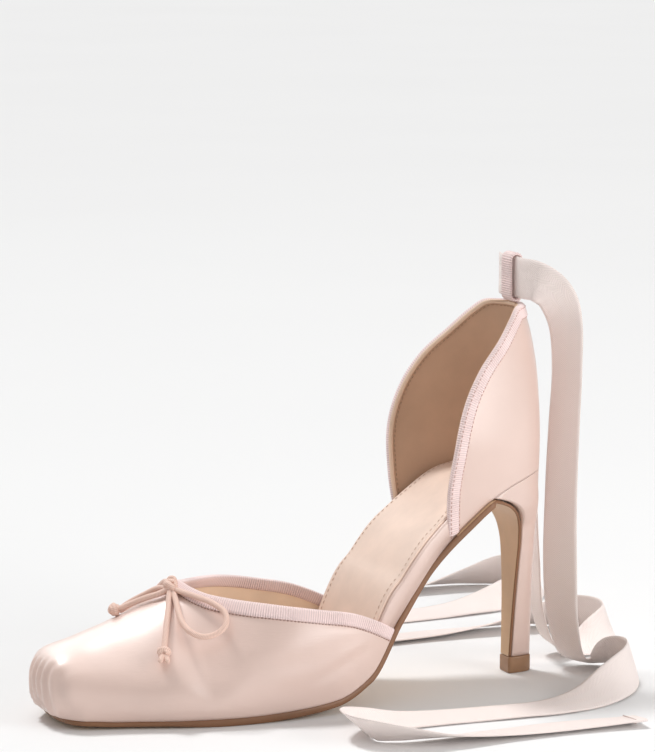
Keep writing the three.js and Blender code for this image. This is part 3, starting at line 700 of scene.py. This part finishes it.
def make_camera():
    az = math.radians(CAMERA_AZIMUTH)
    el = math.radians(CAMERA_ELEVATION)
    back = Vector((math.sin(az) * math.cos(el), -math.cos(az) * math.cos(el), math.sin(el)))
    right = Vector((math.cos(az), math.sin(az), 0))
    up = back.cross(right)
    focal = CAMERA_PIXELS_PER_MM * CAMERA_DISTANCE
    aside = (IMAGE[0] / 2 - TARGET_PIXEL[0]) / focal
    above = (TARGET_PIXEL[1] - IMAGE[1] / 2) / focal
    aim = -back + right * aside + up * above
    data = bpy.data.cameras.new("camera")
    data.sensor_fit = "HORIZONTAL"
    data.sensor_width = SENSOR
    data.lens = focal / IMAGE[0] * SENSOR
    camera = put("camera", data)
    camera.location = (Vector(CAMERA_TARGET) + back * CAMERA_DISTANCE) * MM
    camera.rotation_euler = aim.to_track_quat("-Z", "Y").to_euler()
    bpy.context.scene.camera = camera


def make_light(name, kind, energy, place, target, gloss_only=False, **settings):
    """A lamp that points at a target; one for gloss only is seen in reflections and lights nothing else."""
    data = bpy.data.lights.new(name, kind)
    data.energy = energy
    for key, value in settings.items():
        setattr(data, key, value)
    light = put(name, data)
    light.visible_diffuse = not gloss_only
    light.location = place
    light.rotation_euler = (Vector(target) - Vector(place)).to_track_quat("-Z", "Y").to_euler()


def make_stage():
    grey = (FLOOR_GREY,) * 3
    mat, tree, shader = new_material("floor_white", grey, 0.9, specular=0.1)
    tint(tree, shader, cloud(tree, 3, 2.0), grey, 1 - FLOOR_CLOUD, 1 + FLOOR_CLOUD)
    corners = [(-1, -1), (1, -1), (1, 1), (-1, 1)]
    mesh = bpy.data.meshes.new("floor")
    mesh.from_pydata([(x * FLOOR_HALF, y * FLOOR_HALF, 0) for x, y in corners], [], [(0, 1, 2, 3)])
    mesh.materials.append(mat)
    put("floor", mesh)


def make_lights():
    world = bpy.data.worlds.new("studio")
    world.use_nodes = True
    sky = world.node_tree.nodes["Background"]
    sky.inputs["Color"].default_value = (1.0, 0.997, 0.993, 1)
    sky.inputs["Strength"].default_value = WORLD_STRENGTH
    bpy.context.scene.world = world
    make_light("key", "SUN", 1.8, (-0.20, 0.40, 1.0), (0, 0, 0), angle=math.radians(12))
    make_light("overhead", "AREA", 17.5, (0, 0.57, 1.05), (0, 0.57, 0), gloss_only=True,
               shape="RECTANGLE", size=1.5, size_y=2.3)
    make_light("back", "AREA", 7.0, (-0.05, 1.40, 0.80), (-0.05, 0, 0.04), gloss_only=True,
               shape="RECTANGLE", size=1.8, size_y=0.9)
    make_light("side", "AREA", 8.5, (0.80, -1.00, 0.35), (0.06, 0, 0.08), shape="DISK", size=0.9)


# Cords

def tie_frames(rows, steps):
    """Middle line of a tie with the direction of its width and of its face."""
    middles = []
    for x, y, lift, _, tilt in rows:
        middles.append((x, y, lift + TIE_WIDTH / 2 * math.sin(math.radians(tilt)) + TIE_THICK / 2))
    line = spline(middles, steps)
    at = np.arange(len(line)) / steps
    numbered = [(i, row[3], row[4]) for i, row in enumerate(rows)]
    turn = np.radians(through(numbered, 1)(at))
    tilt = np.radians(through(numbered, 2)(at))
    width = np.stack([np.cos(tilt) * np.cos(turn), np.cos(tilt) * np.sin(turn), np.sin(tilt)], -1)
    along = directions(line)
    width = unit(width - along * (width * along).sum(1, keepdims=True))
    return line, width, np.cross(along, width)


def make_tie(name, rows, node):
    line, width, face = tie_frames(rows, 14)
    s = travel(line)
    left = s[-1] - s
    half = 0.36 * (1 + 0.7 * (1 - smooth(HEM, HEM + 0.6, left)))
    across = np.linspace(-1, 1, 15)
    grid = []
    for w, f in [(w, 1) for w in across] + [(w, -1) for w in across[::-1]]:
        edge = 1 - 0.55 * smooth(0.93, 1.0, abs(w))
        ripple = 0.10 * np.sin(s / 9.0 + 2.1 * w)
        offset = (f * half * edge + ripple)[:, None] * face
        grid.append(line + width * (w * TIE_WIDTH / 2) + offset)
    obj = solid(name, [np.stack(grid, 1)], TWILL, "twill_ribbon", node)
    row = int(np.argmin(np.abs(left - HEM + 0.8)))
    for side, up in (("over", 1), ("under", -1)):
        seam = [line[row] + width[row] * w + face[row] * up * 0.62 for w in np.linspace(-7.2, 7.2, 40)]
        normal = np.repeat(face[row][None] * up, 40, 0)
        make_stitches(f"{name}_hem_{side}", np.array(seam), normal, DARK_THREAD, "twill_ribbon", 1.7)


def on_vamp(row):
    """Point of the bow's cord above the vamp."""
    t, turn, lift = row
    return fore_point(np.float64(t), np.float64(math.radians(turn)), BINDING_PROUD + lift)


def make_bow():
    knot = on_vamp(KNOT)
    under = knot - (0, 0, KNOT_DROP)
    for name, rows in (("outer", BOW_LOOP_OUTER), ("inner", BOW_LOOP_INNER)):
        points = [on_vamp(row) for row in rows]
        path = resample(spline([under] + points + [under + (0.4, 0.4, 0)], 16), 120)
        cord = [tube_grid(path, CORD_RADIUS)]
        obj = solid(f"cord_loop_{name}", cord, ELASTIC, "bow_cord", f"bow_loop_{name}")
    for name, rows, tail in (("outer", BOW_END_OUTER, 5.2), ("inner", BOW_END_INNER, 2.2)):
        path = resample(spline([under] + [on_vamp(row) for row in rows], 16), 70)
        cord = [tube_grid(path, CORD_RADIUS)] + end_knot(path, tail)
        solid(f"cord_end_{name}", cord, ELASTIC, "bow_cord", f"bow_end_{name}")
    make_bow_knot(knot)


def ring_path(centre, axis, across, radius, lift, steps=28):
    """A turn and a bit of cord around an axis, opening like a screw."""
    axis = unit(axis)
    across = unit(across - axis * (across @ axis))
    other = np.cross(axis, across)
    a = np.linspace(-0.3, 2 * math.pi + 0.3, steps)[:, None]
    screw = (a / (2 * math.pi) - 0.5) * lift
    return centre + radius * (np.cos(a) * across + np.sin(a) * other) + screw * axis


def end_knot(path, tail):
    """Overhand knot at the end of a strand: a wrap, a turn across it and two short tails."""
    tip = path[-1]
    along = unit(path[-1] - path[-6])
    up = np.array((0.0, -0.35, 1.0))
    side = unit(np.cross(along, up))
    wrap = ring_path(tip - along * 0.6, along + 0.15 * side, side, 1.7, 1.1)
    turn = ring_path(tip + along * 0.5, along - 0.35 * side, up, 1.4, 1.0)
    grids = [tube_grid(wrap, 1.05), tube_grid(turn, 0.95)]
    for spread in (-0.30, 0.34):
        ray = np.linspace(0, tail, 10)[:, None] * (along + spread * side) + tip
        size = 1.12 * np.sqrt(np.maximum(1 - np.linspace(0, 1, 10) ** 8, 0.08))
        grids.append(tube_grid(ray, size))
    return grids


def make_bow_knot(knot):
    """The bow's knot: a strand wrapped over the middle, another across it, a core and a strand on top."""
    low = knot - (0, 0, 0.9)
    foot_way = np.array((1.0, 0.12, 0.62))
    across = np.array((0.1, 1.0, -0.1))
    wrap = ring_path(low, foot_way, across, 2.1, 1.6)
    turn = ring_path(low + (0.2, 0.1, 0.3), across + 0.5 * foot_way, foot_way, 1.9, 1.4)
    reach = np.linspace(-2.0, 2.0, 9)
    core = low + reach[:, None] * unit(across)
    bulk = 1.75 * np.sqrt(np.maximum(1 - (reach / 2.3) ** 2, 0.05))
    over = ((-0.6, 1.2, 1.6), (0.4, 1.7, 3.1), (1.7, 0.8, 3.2), (2.0, -0.4, 1.6))
    top = spline([low + place for place in over], 10)
    strands = ((wrap, 1.05), (turn, 1.0), (core, bulk), (top, 0.85))
    grids = [tube_grid(path, radius) for path, radius in strands]
    solid("cord_knot", grids, ELASTIC, "bow_cord", "bow_knot")


# Stitches

def make_stitches(name, path, normal, material, slot, pitch, radius=0.17, share=0.62):
    """A row of thread stitches that dip into the cloth at both ends."""
    arch = np.array((-0.10, 0.08, 0.15, 0.15, 0.08, -0.10))[:, None]
    body = np.array((0.5, 0.95, 1, 1, 0.95, 0.5)) * radius
    s = travel(path)
    count = max(2, int(s[-1] / pitch))
    grids = []
    for k in range(count):
        at = (k + 0.5) * s[-1] / count + np.linspace(-0.5, 0.5, 6) * pitch * share
        line = sample(path, at, s) + sample(normal, at, s) * arch
        grids.append(tube_grid(line, body, 6))
    solid(name, grids, material, slot)


# Upper

def relief(points, t):
    """Soft folds of the satin: gathers at the toe front and creases on the walls, as a height in mm."""
    y = points[..., 1]
    z = points[..., 2]
    wobble = 0.9 * np.sin(z / 5.0) + 0.7 * np.sin(y / 6.1)
    height = smooth(*GATHER_LOW, z) * (1 - smooth(*GATHER_HIGH, z))
    gathers = np.sin(2 * math.pi * (y + wobble) / GATHER_PITCH) - 0.8
    gathers = gathers * bell(t, GATHER_REACH) * height * GATHER_DEPTH
    folds = np.zeros_like(y)
    for t0, z0, t1, z1, width, depth in CREASES:
        line = np.array((t1 - t0, z1 - z0), float)
        size = np.linalg.norm(line)
        share = ((t - t0) * line[0] + (z - z0) * line[1]) / size ** 2
        off = ((z - z0) * line[0] - (t - t0) * line[1]) / size
        folds += depth * bell(off, width) * bell((share - 0.5) * 2, 0.8)
    return gathers + folds * np.where(y < 0, 1.0, INNER_CREASE)


def vamp_column(t, top, outside, grow, under):
    """One section of the vamp: the margin under the foot, then the wall up to a height or the crown."""
    climb = math.pi / 2
    if top < float(crown(t)) + grow:
        climb = fore_climb(np.full(1, t), np.full(1, top), outside, grow)[0]
    turn = side_turn(outside, np.linspace(0, climb, SECTION_STEPS))
    wall = resample(fore_point(np.full(SECTION_STEPS, t), turn, grow), VAMP_ROWS)
    chin = (1 - np.clip((wall[:, 2] - 5) / 10, 0, 1)) ** 2 * (1 - smooth(4, 15, t))
    wall[:, 1] *= 1 - CHIN_TUCK * chin
    reach = 1 - 0.85 * smooth(TOE_TUCK, TOE_TUCK + 3, t)
    margin = 1 - under * np.linspace(1, 0, MARGIN_ROWS + 1)[:-1, None] * reach
    foot = np.repeat(wall[:1], MARGIN_ROWS, 0) * (1, 0, 1) + wall[0] * (0, 1, 0) * margin
    return np.vstack([foot, wall])


def drape(grid, stations, throat, outside):
    """Gathers and creases, which end at the crown and the sole but run on round the toe's front."""
    t = np.repeat(stations[:, None], grid.shape[1], 1)
    n = normals_of(grid) * (1 if outside else -1)
    tip = 1 - smooth(0, 0.15, t - TOE_START)[..., None]
    n = n * (1 - tip) + np.array((-1, 0, 0)) * tip
    n[stations < throat, -1, 1] = 0
    n[stations < TOE_TUCK, 0, 1] = 0
    up = np.linspace(0, 1, VAMP_ROWS)
    off_sole = np.concatenate([np.zeros(MARGIN_ROWS), smooth(0, 0.12, up)])
    off_crown = np.concatenate([np.ones(MARGIN_ROWS), 1 - smooth(0.9, 1.0, up)])
    lift = relief(grid, t) * np.maximum(1 - smooth(3, TOE_TUCK, t), off_sole)
    closing = np.maximum(off_crown, 1 - smooth(8, 16, t))
    return grid + n * (lift * np.where(t < throat, closing, 1.0))[..., None]


def vamp_side(outside, grow, under):
    """Half of the vamp from the lasting margin under the foot up to the top edge or the crown."""
    line = beside(topline, -2.0)
    t_line = line[:, 0] - TOE_X
    throat = t_line[np.argmax(crown(t_line) + grow > line[:, 1])]
    end = t_line[np.argmax(line[:, 1] < seat(t_line) + 1.2)]
    front = TOE_START + (TOE_TUCK - TOE_START) * np.linspace(0, 1, 34) ** 2.4
    middle = np.linspace(TOE_TUCK, throat, 62)[1:]
    back = throat + (end - throat) * np.linspace(0, 1, 74)[1:] ** 1.5
    stations = np.concatenate([front, middle, back])
    tops = np.where(stations > throat, np.interp(stations, t_line, line[:, 1]), np.inf)
    grid = np.array([vamp_column(t, top, outside, grow, under) for t, top in zip(stations, tops)])
    return drape(grid, stations, throat, outside) if under else grid


def make_vamp():
    shell("vamp_satin", vamp_side, (0.0, 1.0), SATIN, ["vamp"], SATIN_THICK)
    shell("vamp_lining", vamp_side, (-1.3, 0.0), VAMP_LINING, (), LINING_THICK)


def abreast(lines, guide):
    """Samples of several lines abreast of a guide line's samples, so that ribs run straight across."""
    columns = []
    for line in lines:
        nearest = np.array([np.argmin(((line - point) ** 2).sum(1)) for point in guide], float)
        index = average(np.maximum.accumulate(nearest), 12)
        columns.append(sample(line, index, np.arange(len(line))))
    return np.stack(columns, 1)


def binding_grid(edge, profile, count):
    """Binding swept along an edge; the profile lists (offset down from the edge, grow off the wall)."""
    guide = both_sides(edge, BINDING_WIDTH / 2, BINDING_PROUD, count)
    grid = abreast([both_sides(edge, offset, grow, 2 * count) for offset, grow in profile], guide)
    ribs = 0.5 + 0.5 * np.sin(2 * math.pi * travel(guide) / RIB)
    away = grid - grid.mean(axis=1, keepdims=True)
    n = normals_of(wrapped(grid, True))[:, :-1]
    n = n * np.sign((n * away).sum(-1, keepdims=True))
    return grid + n * (0.16 * ribs)[:, None, None]


def make_bindings():
    """Bindings of the vamp and the counter, and the folded edge of the counter's lining."""
    proud = BINDING_PROUD
    inside = -WALL - BINDING_PROUD
    wide = BINDING_WIDTH
    face = [(wide, 0.1), (wide - 0.25, proud * 0.9), (wide * 0.7, proud), (wide * 0.4, proud), (0.5, proud),
            (0.12, proud * 0.6), (0.0, -0.2)]
    folded = [(0.0, -1.4), (0.12, inside * 0.85), (0.5, inside), (wide * 0.4, inside), (wide * 0.7, inside),
              (wide - 0.25, inside + 0.06), (wide, -WALL)]
    tape = [binding_grid(vamp_edge, face + folded, 640)]
    solid("vamp_binding_tape", tape, GROSGRAIN, "grosgrain", "vamp_binding")
    shallow = [(0.0, -1.2), (0.1, -1.6), (0.35, -WALL), (wide, -1.2)]
    tape = [binding_grid(counter_edge, face + shallow, 700)]
    solid("counter_binding_tape", tape, GROSGRAIN, "grosgrain", "counter_binding")
    roll = [(0.1, -1.7), (0.2, -2.2), (0.6, -2.5), (1.2, -2.55), (1.7, -2.4), (1.9, -1.9)]
    fold = np.stack([both_sides(counter_edge, offset, grow, 300) for offset, grow in roll], 1)
    solid("counter_fold", [fold], FOLD_EDGE, "sock_suede")


def counter_side(outside, grow, offset, rows=72, columns=64):
    """Half of the counter from the middle of the back to the front edge, from the seat up to the tab."""
    line = beside(wingline, -offset)
    keep = line[:, 0] < counter_back(line[:, 1]) + grow
    keep &= np.arange(len(line)) <= np.argmax(line[:, 1] > line[:, 1].max() - 0.05)
    wing_z = np.maximum.accumulate(line[keep][:, 1])
    wing_x = line[keep][:, 0]
    top = wing_z[-1]
    s = np.linspace(0, 1, columns)[None]
    h = np.linspace(0, 1, rows)[:, None]
    low = 70  # first guess of the seat's height
    z = low + (top - low) * h + 0 * s
    for _ in range(12):  # the seat's height and the place along the shoe settle together
        back = counter_back(z) + grow
        reach = np.clip((np.interp(z, wing_z, wing_x) - COUNTER_FRONT) / (back - COUNTER_FRONT), 0, 1)
        turn = s * np.arccos(reach ** (COUNTER_POWER / 2))
        x = COUNTER_FRONT + (back - COUNTER_FRONT) * np.cos(turn) ** (2 / COUNTER_POWER)
        low = seat(x - TOE_X) + 0.15
        z = low + (top - low) * h
    y = (counter_half(z) + grow) * np.sin(turn) ** (2 / COUNTER_POWER)
    return np.stack([x, -y if outside else y, z], -1)


def make_counter():
    shell("counter_satin", counter_side, (0.0, 2.2), SATIN, ["counter"], SATIN_THICK)
    shell("counter_lining", counter_side, (-1.9, 0.25), LINING, (), -LINING_THICK)


def make_seams():
    for name, edge, offset, grow, material, slot, pitch in (
        ("vamp_seam", vamp_edge, BINDING_WIDTH + 0.3, 0.08, DARK_THREAD, "grosgrain", 1.4),
        ("counter_seam", counter_edge, BINDING_WIDTH + 0.3, 0.05, PINK_THREAD, "grosgrain", 1.6),
        ("counter_front_seam", counter_edge, 0.9, BINDING_PROUD + 0.12, PINK_THREAD, "grosgrain", 1.8),
        ("lining_seam", counter_edge, 2.4, -2.42, TAN_THREAD, "sock_suede", 1.9),
    ):
        path = both_sides(edge, offset, grow, 300)
        out = unit(both_sides(edge, offset, grow + 0.5, 300) - path)
        make_stitches(name, path, out if grow > -1 else -out, material, slot, pitch)


# Heel, sole and insole

def d_section(turn_count, front_count, power):
    """Shares of the depth and of the half width around a D-shaped section with its flat side in front."""
    turns = np.linspace(-math.pi / 2, math.pi / 2, turn_count)
    front = np.linspace(1, -1, front_count)[1:-1]
    depth = np.concatenate([np.cos(turns).clip(0) ** (2 / power), np.zeros(len(front))])
    half = np.concatenate([np.sign(np.sin(turns)) * np.abs(np.sin(turns)) ** (2 / power), front])
    return depth, half


def make_heel():
    """Covered heel from the top lift to the seat; near its top it swells to lie flush with the counter."""
    depth, half = d_section(72, 12, HEEL_POWER)

    def x_at(z):
        return heel_breast(z) + (heel_back(z) - heel_breast(z)) * depth

    top = bisect(lambda z: z > seat(x_at(z) - TOE_X), np.full(len(depth), 60.0), np.full(len(depth), 90.0))
    bottom = LIFT_HEIGHT + GAP
    rows = []
    for h in np.linspace(0, 1, 90) ** 0.8:
        z = bottom + (top - bottom) * h
        x = x_at(z)
        flush = np.maximum(np.abs(counter_point(x, z, False)[:, 1]) - 0.12, 0) * np.sign(half)
        y = heel_half(z) * half
        meet = smooth(0.76, 0.95, h) * (depth > 0.02)
        rows.append(np.stack([x, y + (flush - y) * meet, z], -1))
    solid("heel_cover", [np.array(rows)], SATIN, "satin", "heel")


def make_top_lift():
    depth, half = d_section(40, 10, LIFT_POWER)
    foot = HEEL[0][0]
    breast = float(heel_breast(foot)) - FLAP
    back = float(heel_back(foot)) + 0.1
    wide = float(heel_half(foot)) + 0.3
    high = LIFT_HEIGHT
    rows = []
    for z, inset in ((0, 0.5), (0.15, 0.2), (0.5, 0), (3, 0), (6.1, 0), (high - 0.15, 0.1), (high, 0.4)):
        x = breast + inset + (back - breast - 2 * inset) * depth
        rows.append(np.stack([x, (wide - inset) * half, np.full(len(x), z)], -1))
    solid("top_lift_block", [np.array(rows)], LIFT, "lift_rubber", "top_lift")


def sole_path():
    """Lower face of the sole from the toe to the foot of the heel breast: x, z, half widths, thickness."""
    ease = 14
    end = 182
    front = TOE_TUCK + ease * np.linspace(0, 1, 22) ** 2
    t = np.concatenate([front, np.linspace(TOE_TUCK + ease, end, 120)[1:]])
    slope = np.gradient(seat(t), t)
    thick = SOLE_TOE + (SOLE_FORE - SOLE_TOE) * smooth(*SOLE_TOE_ENDS, t)
    thick = thick + (SOLE_WAIST - SOLE_FORE) * smooth(*SOLE_WAIST_STARTS, t)
    square = toe_scale(t - TOE_TUCK + 0.05, TOE_PLAN, TOE_PLAN_POWER)
    low = np.maximum(seat(t) - thick * np.hypot(1, slope), 0)
    waist = np.stack([TOE_X + t, low, outer(t) * square, inner(t) * square, thick], -1)
    z = np.concatenate([np.linspace(73.4, 66, 16), np.linspace(65, LIFT_HEIGHT + GAP, 60)])
    half = heel_half(z + FLAP)
    flap = np.stack([heel_breast(z + FLAP) - FLAP, z, half, half, np.full(len(z), FLAP - GAP)], -1)
    return np.vstack([waist[waist[:, 0] < flap[0, 0] - 1], flap])


def make_sole():
    path = sole_path()
    along = directions(path[:, :2])
    rows = []
    for (x, z, out, inn, thick), way in zip(path, along):
        bevel = SOLE_BEVEL
        across = np.linspace(-0.9, 0.9, 5)
        widths = [share * (out if share < 0 else inn) for share in across]
        section = [(-out + bevel, 0), (-out, bevel), (-out, thick - bevel), (-out + bevel, thick)]
        section += [(y, thick) for y in widths]
        section += [(inn - bevel, thick), (inn, thick - bevel), (inn, bevel), (inn - bevel, 0)]
        section += [(y, 0) for y in widths[::-1]]
        rows.append([(x - way[1] * lift, y, z + way[0] * lift) for y, lift in section])
    obj = solid("outsole_leather", [np.array(rows)], SOLE_EDGE, "sole_leather", "outsole")
    obj.data.materials.append(SOLE_FACE)
    for face in obj.data.polygons:
        underneath = face.normal.z < -0.3 or face.center.x > 0.06
        if abs(face.normal.y) < 0.35 and underneath:
            face.material_index = 1


def board_top(t):
    heel = smooth(*WAIST_ENDS, t)
    waist = smooth(*WAIST_STARTS, t) * (1 - heel)
    return BOARD_FORE + (BOARD_WAIST - BOARD_FORE) * waist + (BOARD_SEAT - BOARD_FORE) * heel


def wall_room(t):
    """How far the insole keeps inside the feather line where the upper's wall stands."""
    return INSOLE_ROOM * (1 - smooth(*OPEN_STARTS, t) * (1 - smooth(*OPEN_ENDS, t)))


def level(t, width):
    """Widths along the waist with their small waves smoothed out."""
    even = np.linspace(t[0], t[-1], 400)
    calm = np.interp(t, even, average(np.interp(even, t, width), 30))
    return width + (calm - width) * smooth(*LEVEL_STARTS, t) * (1 - smooth(*LEVEL_ENDS, t))


def insole_half(t, edge, inset):
    """Half width of the insole, kept inside the counter's lining at the heel."""
    half = level(t, edge(t) - inset - wall_room(t))
    cup = counter_point(TOE_X + t, seat(t) + 3, False, LINING_FACE)[..., 1] + 6 * (1 - smooth(*CUP_STARTS, t))
    return np.where(t > CUP_STARTS[0], np.minimum(half, cup), half)


def insole_grid(low, high, inset, start, end, corner, columns=26):
    """Rings of a layer of the insole between two heights above the seat, with its upper corners rounded."""
    ease = INSOLE_ROUND * np.linspace(0, 1, 14) ** 2
    middle = np.linspace(start + INSOLE_ROUND, end - INSOLE_ROUND, 110)[1:-1]
    t = np.concatenate([start + ease, middle, end - ease[::-1]])
    square = toe_scale(t - start + 0.05, INSOLE_ROUND, 2.4) * toe_scale(end - t + 0.05, INSOLE_ROUND, 2.0)
    slope = np.hypot(1, np.gradient(seat(t), t))
    lefts = -insole_half(t, outer, inset) * square
    rights = insole_half(t, inner, inset) * square
    bottoms = seat(t) + low(t) * slope
    tops = seat(t) + high(t) * slope
    arc = np.linspace(0, math.pi / 2, 5)
    rows = []
    for station, left, right, bottom, top in zip(t, lefts, rights, bottoms, tops):
        bevel = min(corner, (top - bottom) / 2.2)
        rounded = [(bevel * (1 - math.cos(a)), top - bevel * (1 - math.sin(a))) for a in arc]
        section = [(left, bottom)] + [(left + inward, z) for inward, z in rounded]
        for share in np.linspace(0, 1, columns)[1:-1]:
            section.append((left + bevel + (right - left - 2 * bevel) * share, top))
        section += [(right - inward, z) for inward, z in rounded[::-1]] + [(right, bottom)]
        rows.append([(TOE_X + station, y, z) for y, z in section])
    return np.array(rows)


def sock_top(t):
    return board_top(t) + SOCK


def make_insole():
    board = insole_grid(lambda t: 0.1, board_top, 0, *BOARD_ENDS, 1.6)
    solid("board_wrap", [board], SATIN, "satin", "insole_board")
    sock = insole_grid(lambda t: board_top(t) + 0.05, sock_top, SOCK_INSET, *SOCK_ENDS, 0.7, columns=40)
    solid("sock_sheet", [sock], SOCK_SKIN, "sock_suede", "insole_sock")
    t = np.linspace(*SOCK_SEAM_ENDS, 240)
    z = seat(t) + sock_top(t) * np.hypot(1, np.gradient(seat(t), t)) + 0.02
    out = unit(np.stack([-np.gradient(z, TOE_X + t), 0 * t, np.ones_like(t)], -1))
    for name, edge, side in (("outer", outer, -1), ("inner", inner, 1)):
        half = insole_half(t, edge, SOCK_INSET) - 2.0
        path = np.stack([TOE_X + t, side * half, z], -1)
        make_stitches(f"sock_seam_{name}", path, out, SOCK_THREAD, "sock_suede", 2.4, radius=0.13)


def make_heel_loop():
    """Tape loop on the tab: a flat ring of ribbed tape."""
    radius = LOOP_DEEP / 2 - LOOP_WALL / 2
    straight = LOOP_TALL / 2 - LOOP_DEEP / 2
    arc = np.linspace(0, math.pi, 40)
    upper = np.stack([radius * np.cos(arc), straight + radius * np.sin(arc)], -1)
    ring = resample(np.vstack([upper, -upper, upper[:1]]), 260)
    s = travel(ring)
    along = directions(ring)
    out = np.stack([along[:, 1], -along[:, 0]], -1)
    pitch = s[-1] / round(s[-1] / RIB)
    ribs = 0.10 * np.sin(2 * math.pi * s / pitch)
    middle = TAB_TOP + GAP + LOOP_TALL / 2
    section = [(-1, 0.55), (-0.94, 1), (-0.5, 1), (0, 1), (0.5, 1), (0.94, 1), (1, 0.55)]
    section += [(1, -0.55), (0.94, -1), (0, -1), (-0.94, -1), (-1, -0.55)]
    columns = []
    for w, f in section:
        flat = ring + out * (f * LOOP_WALL / 2 * 0.9 + (ribs if f > 0 else -ribs))[:, None]
        width = np.full(len(s), w * LOOP_WIDTH / 2)
        columns.append(np.stack([LOOP_X + flat[:, 0], width, middle + flat[:, 1]], -1))
    tape = [np.stack(columns, 1)]
    piece("loop_tape", tape, GROSGRAIN, ["heel_loop"], loop=True, weld=True)


make_camera()
make_stage()
make_lights()
make_tie("ribbon_outer", TIE_OUTER, "ankle_tie_outer")
make_tie("ribbon_inner", TIE_INNER, "ankle_tie_inner")
make_bow()
make_vamp()
make_bindings()
make_counter()
make_seams()
make_heel()
make_top_lift()
make_sole()
make_insole()
make_heel_loop()

bpy.context.scene.view_settings.view_transform = "Standard"
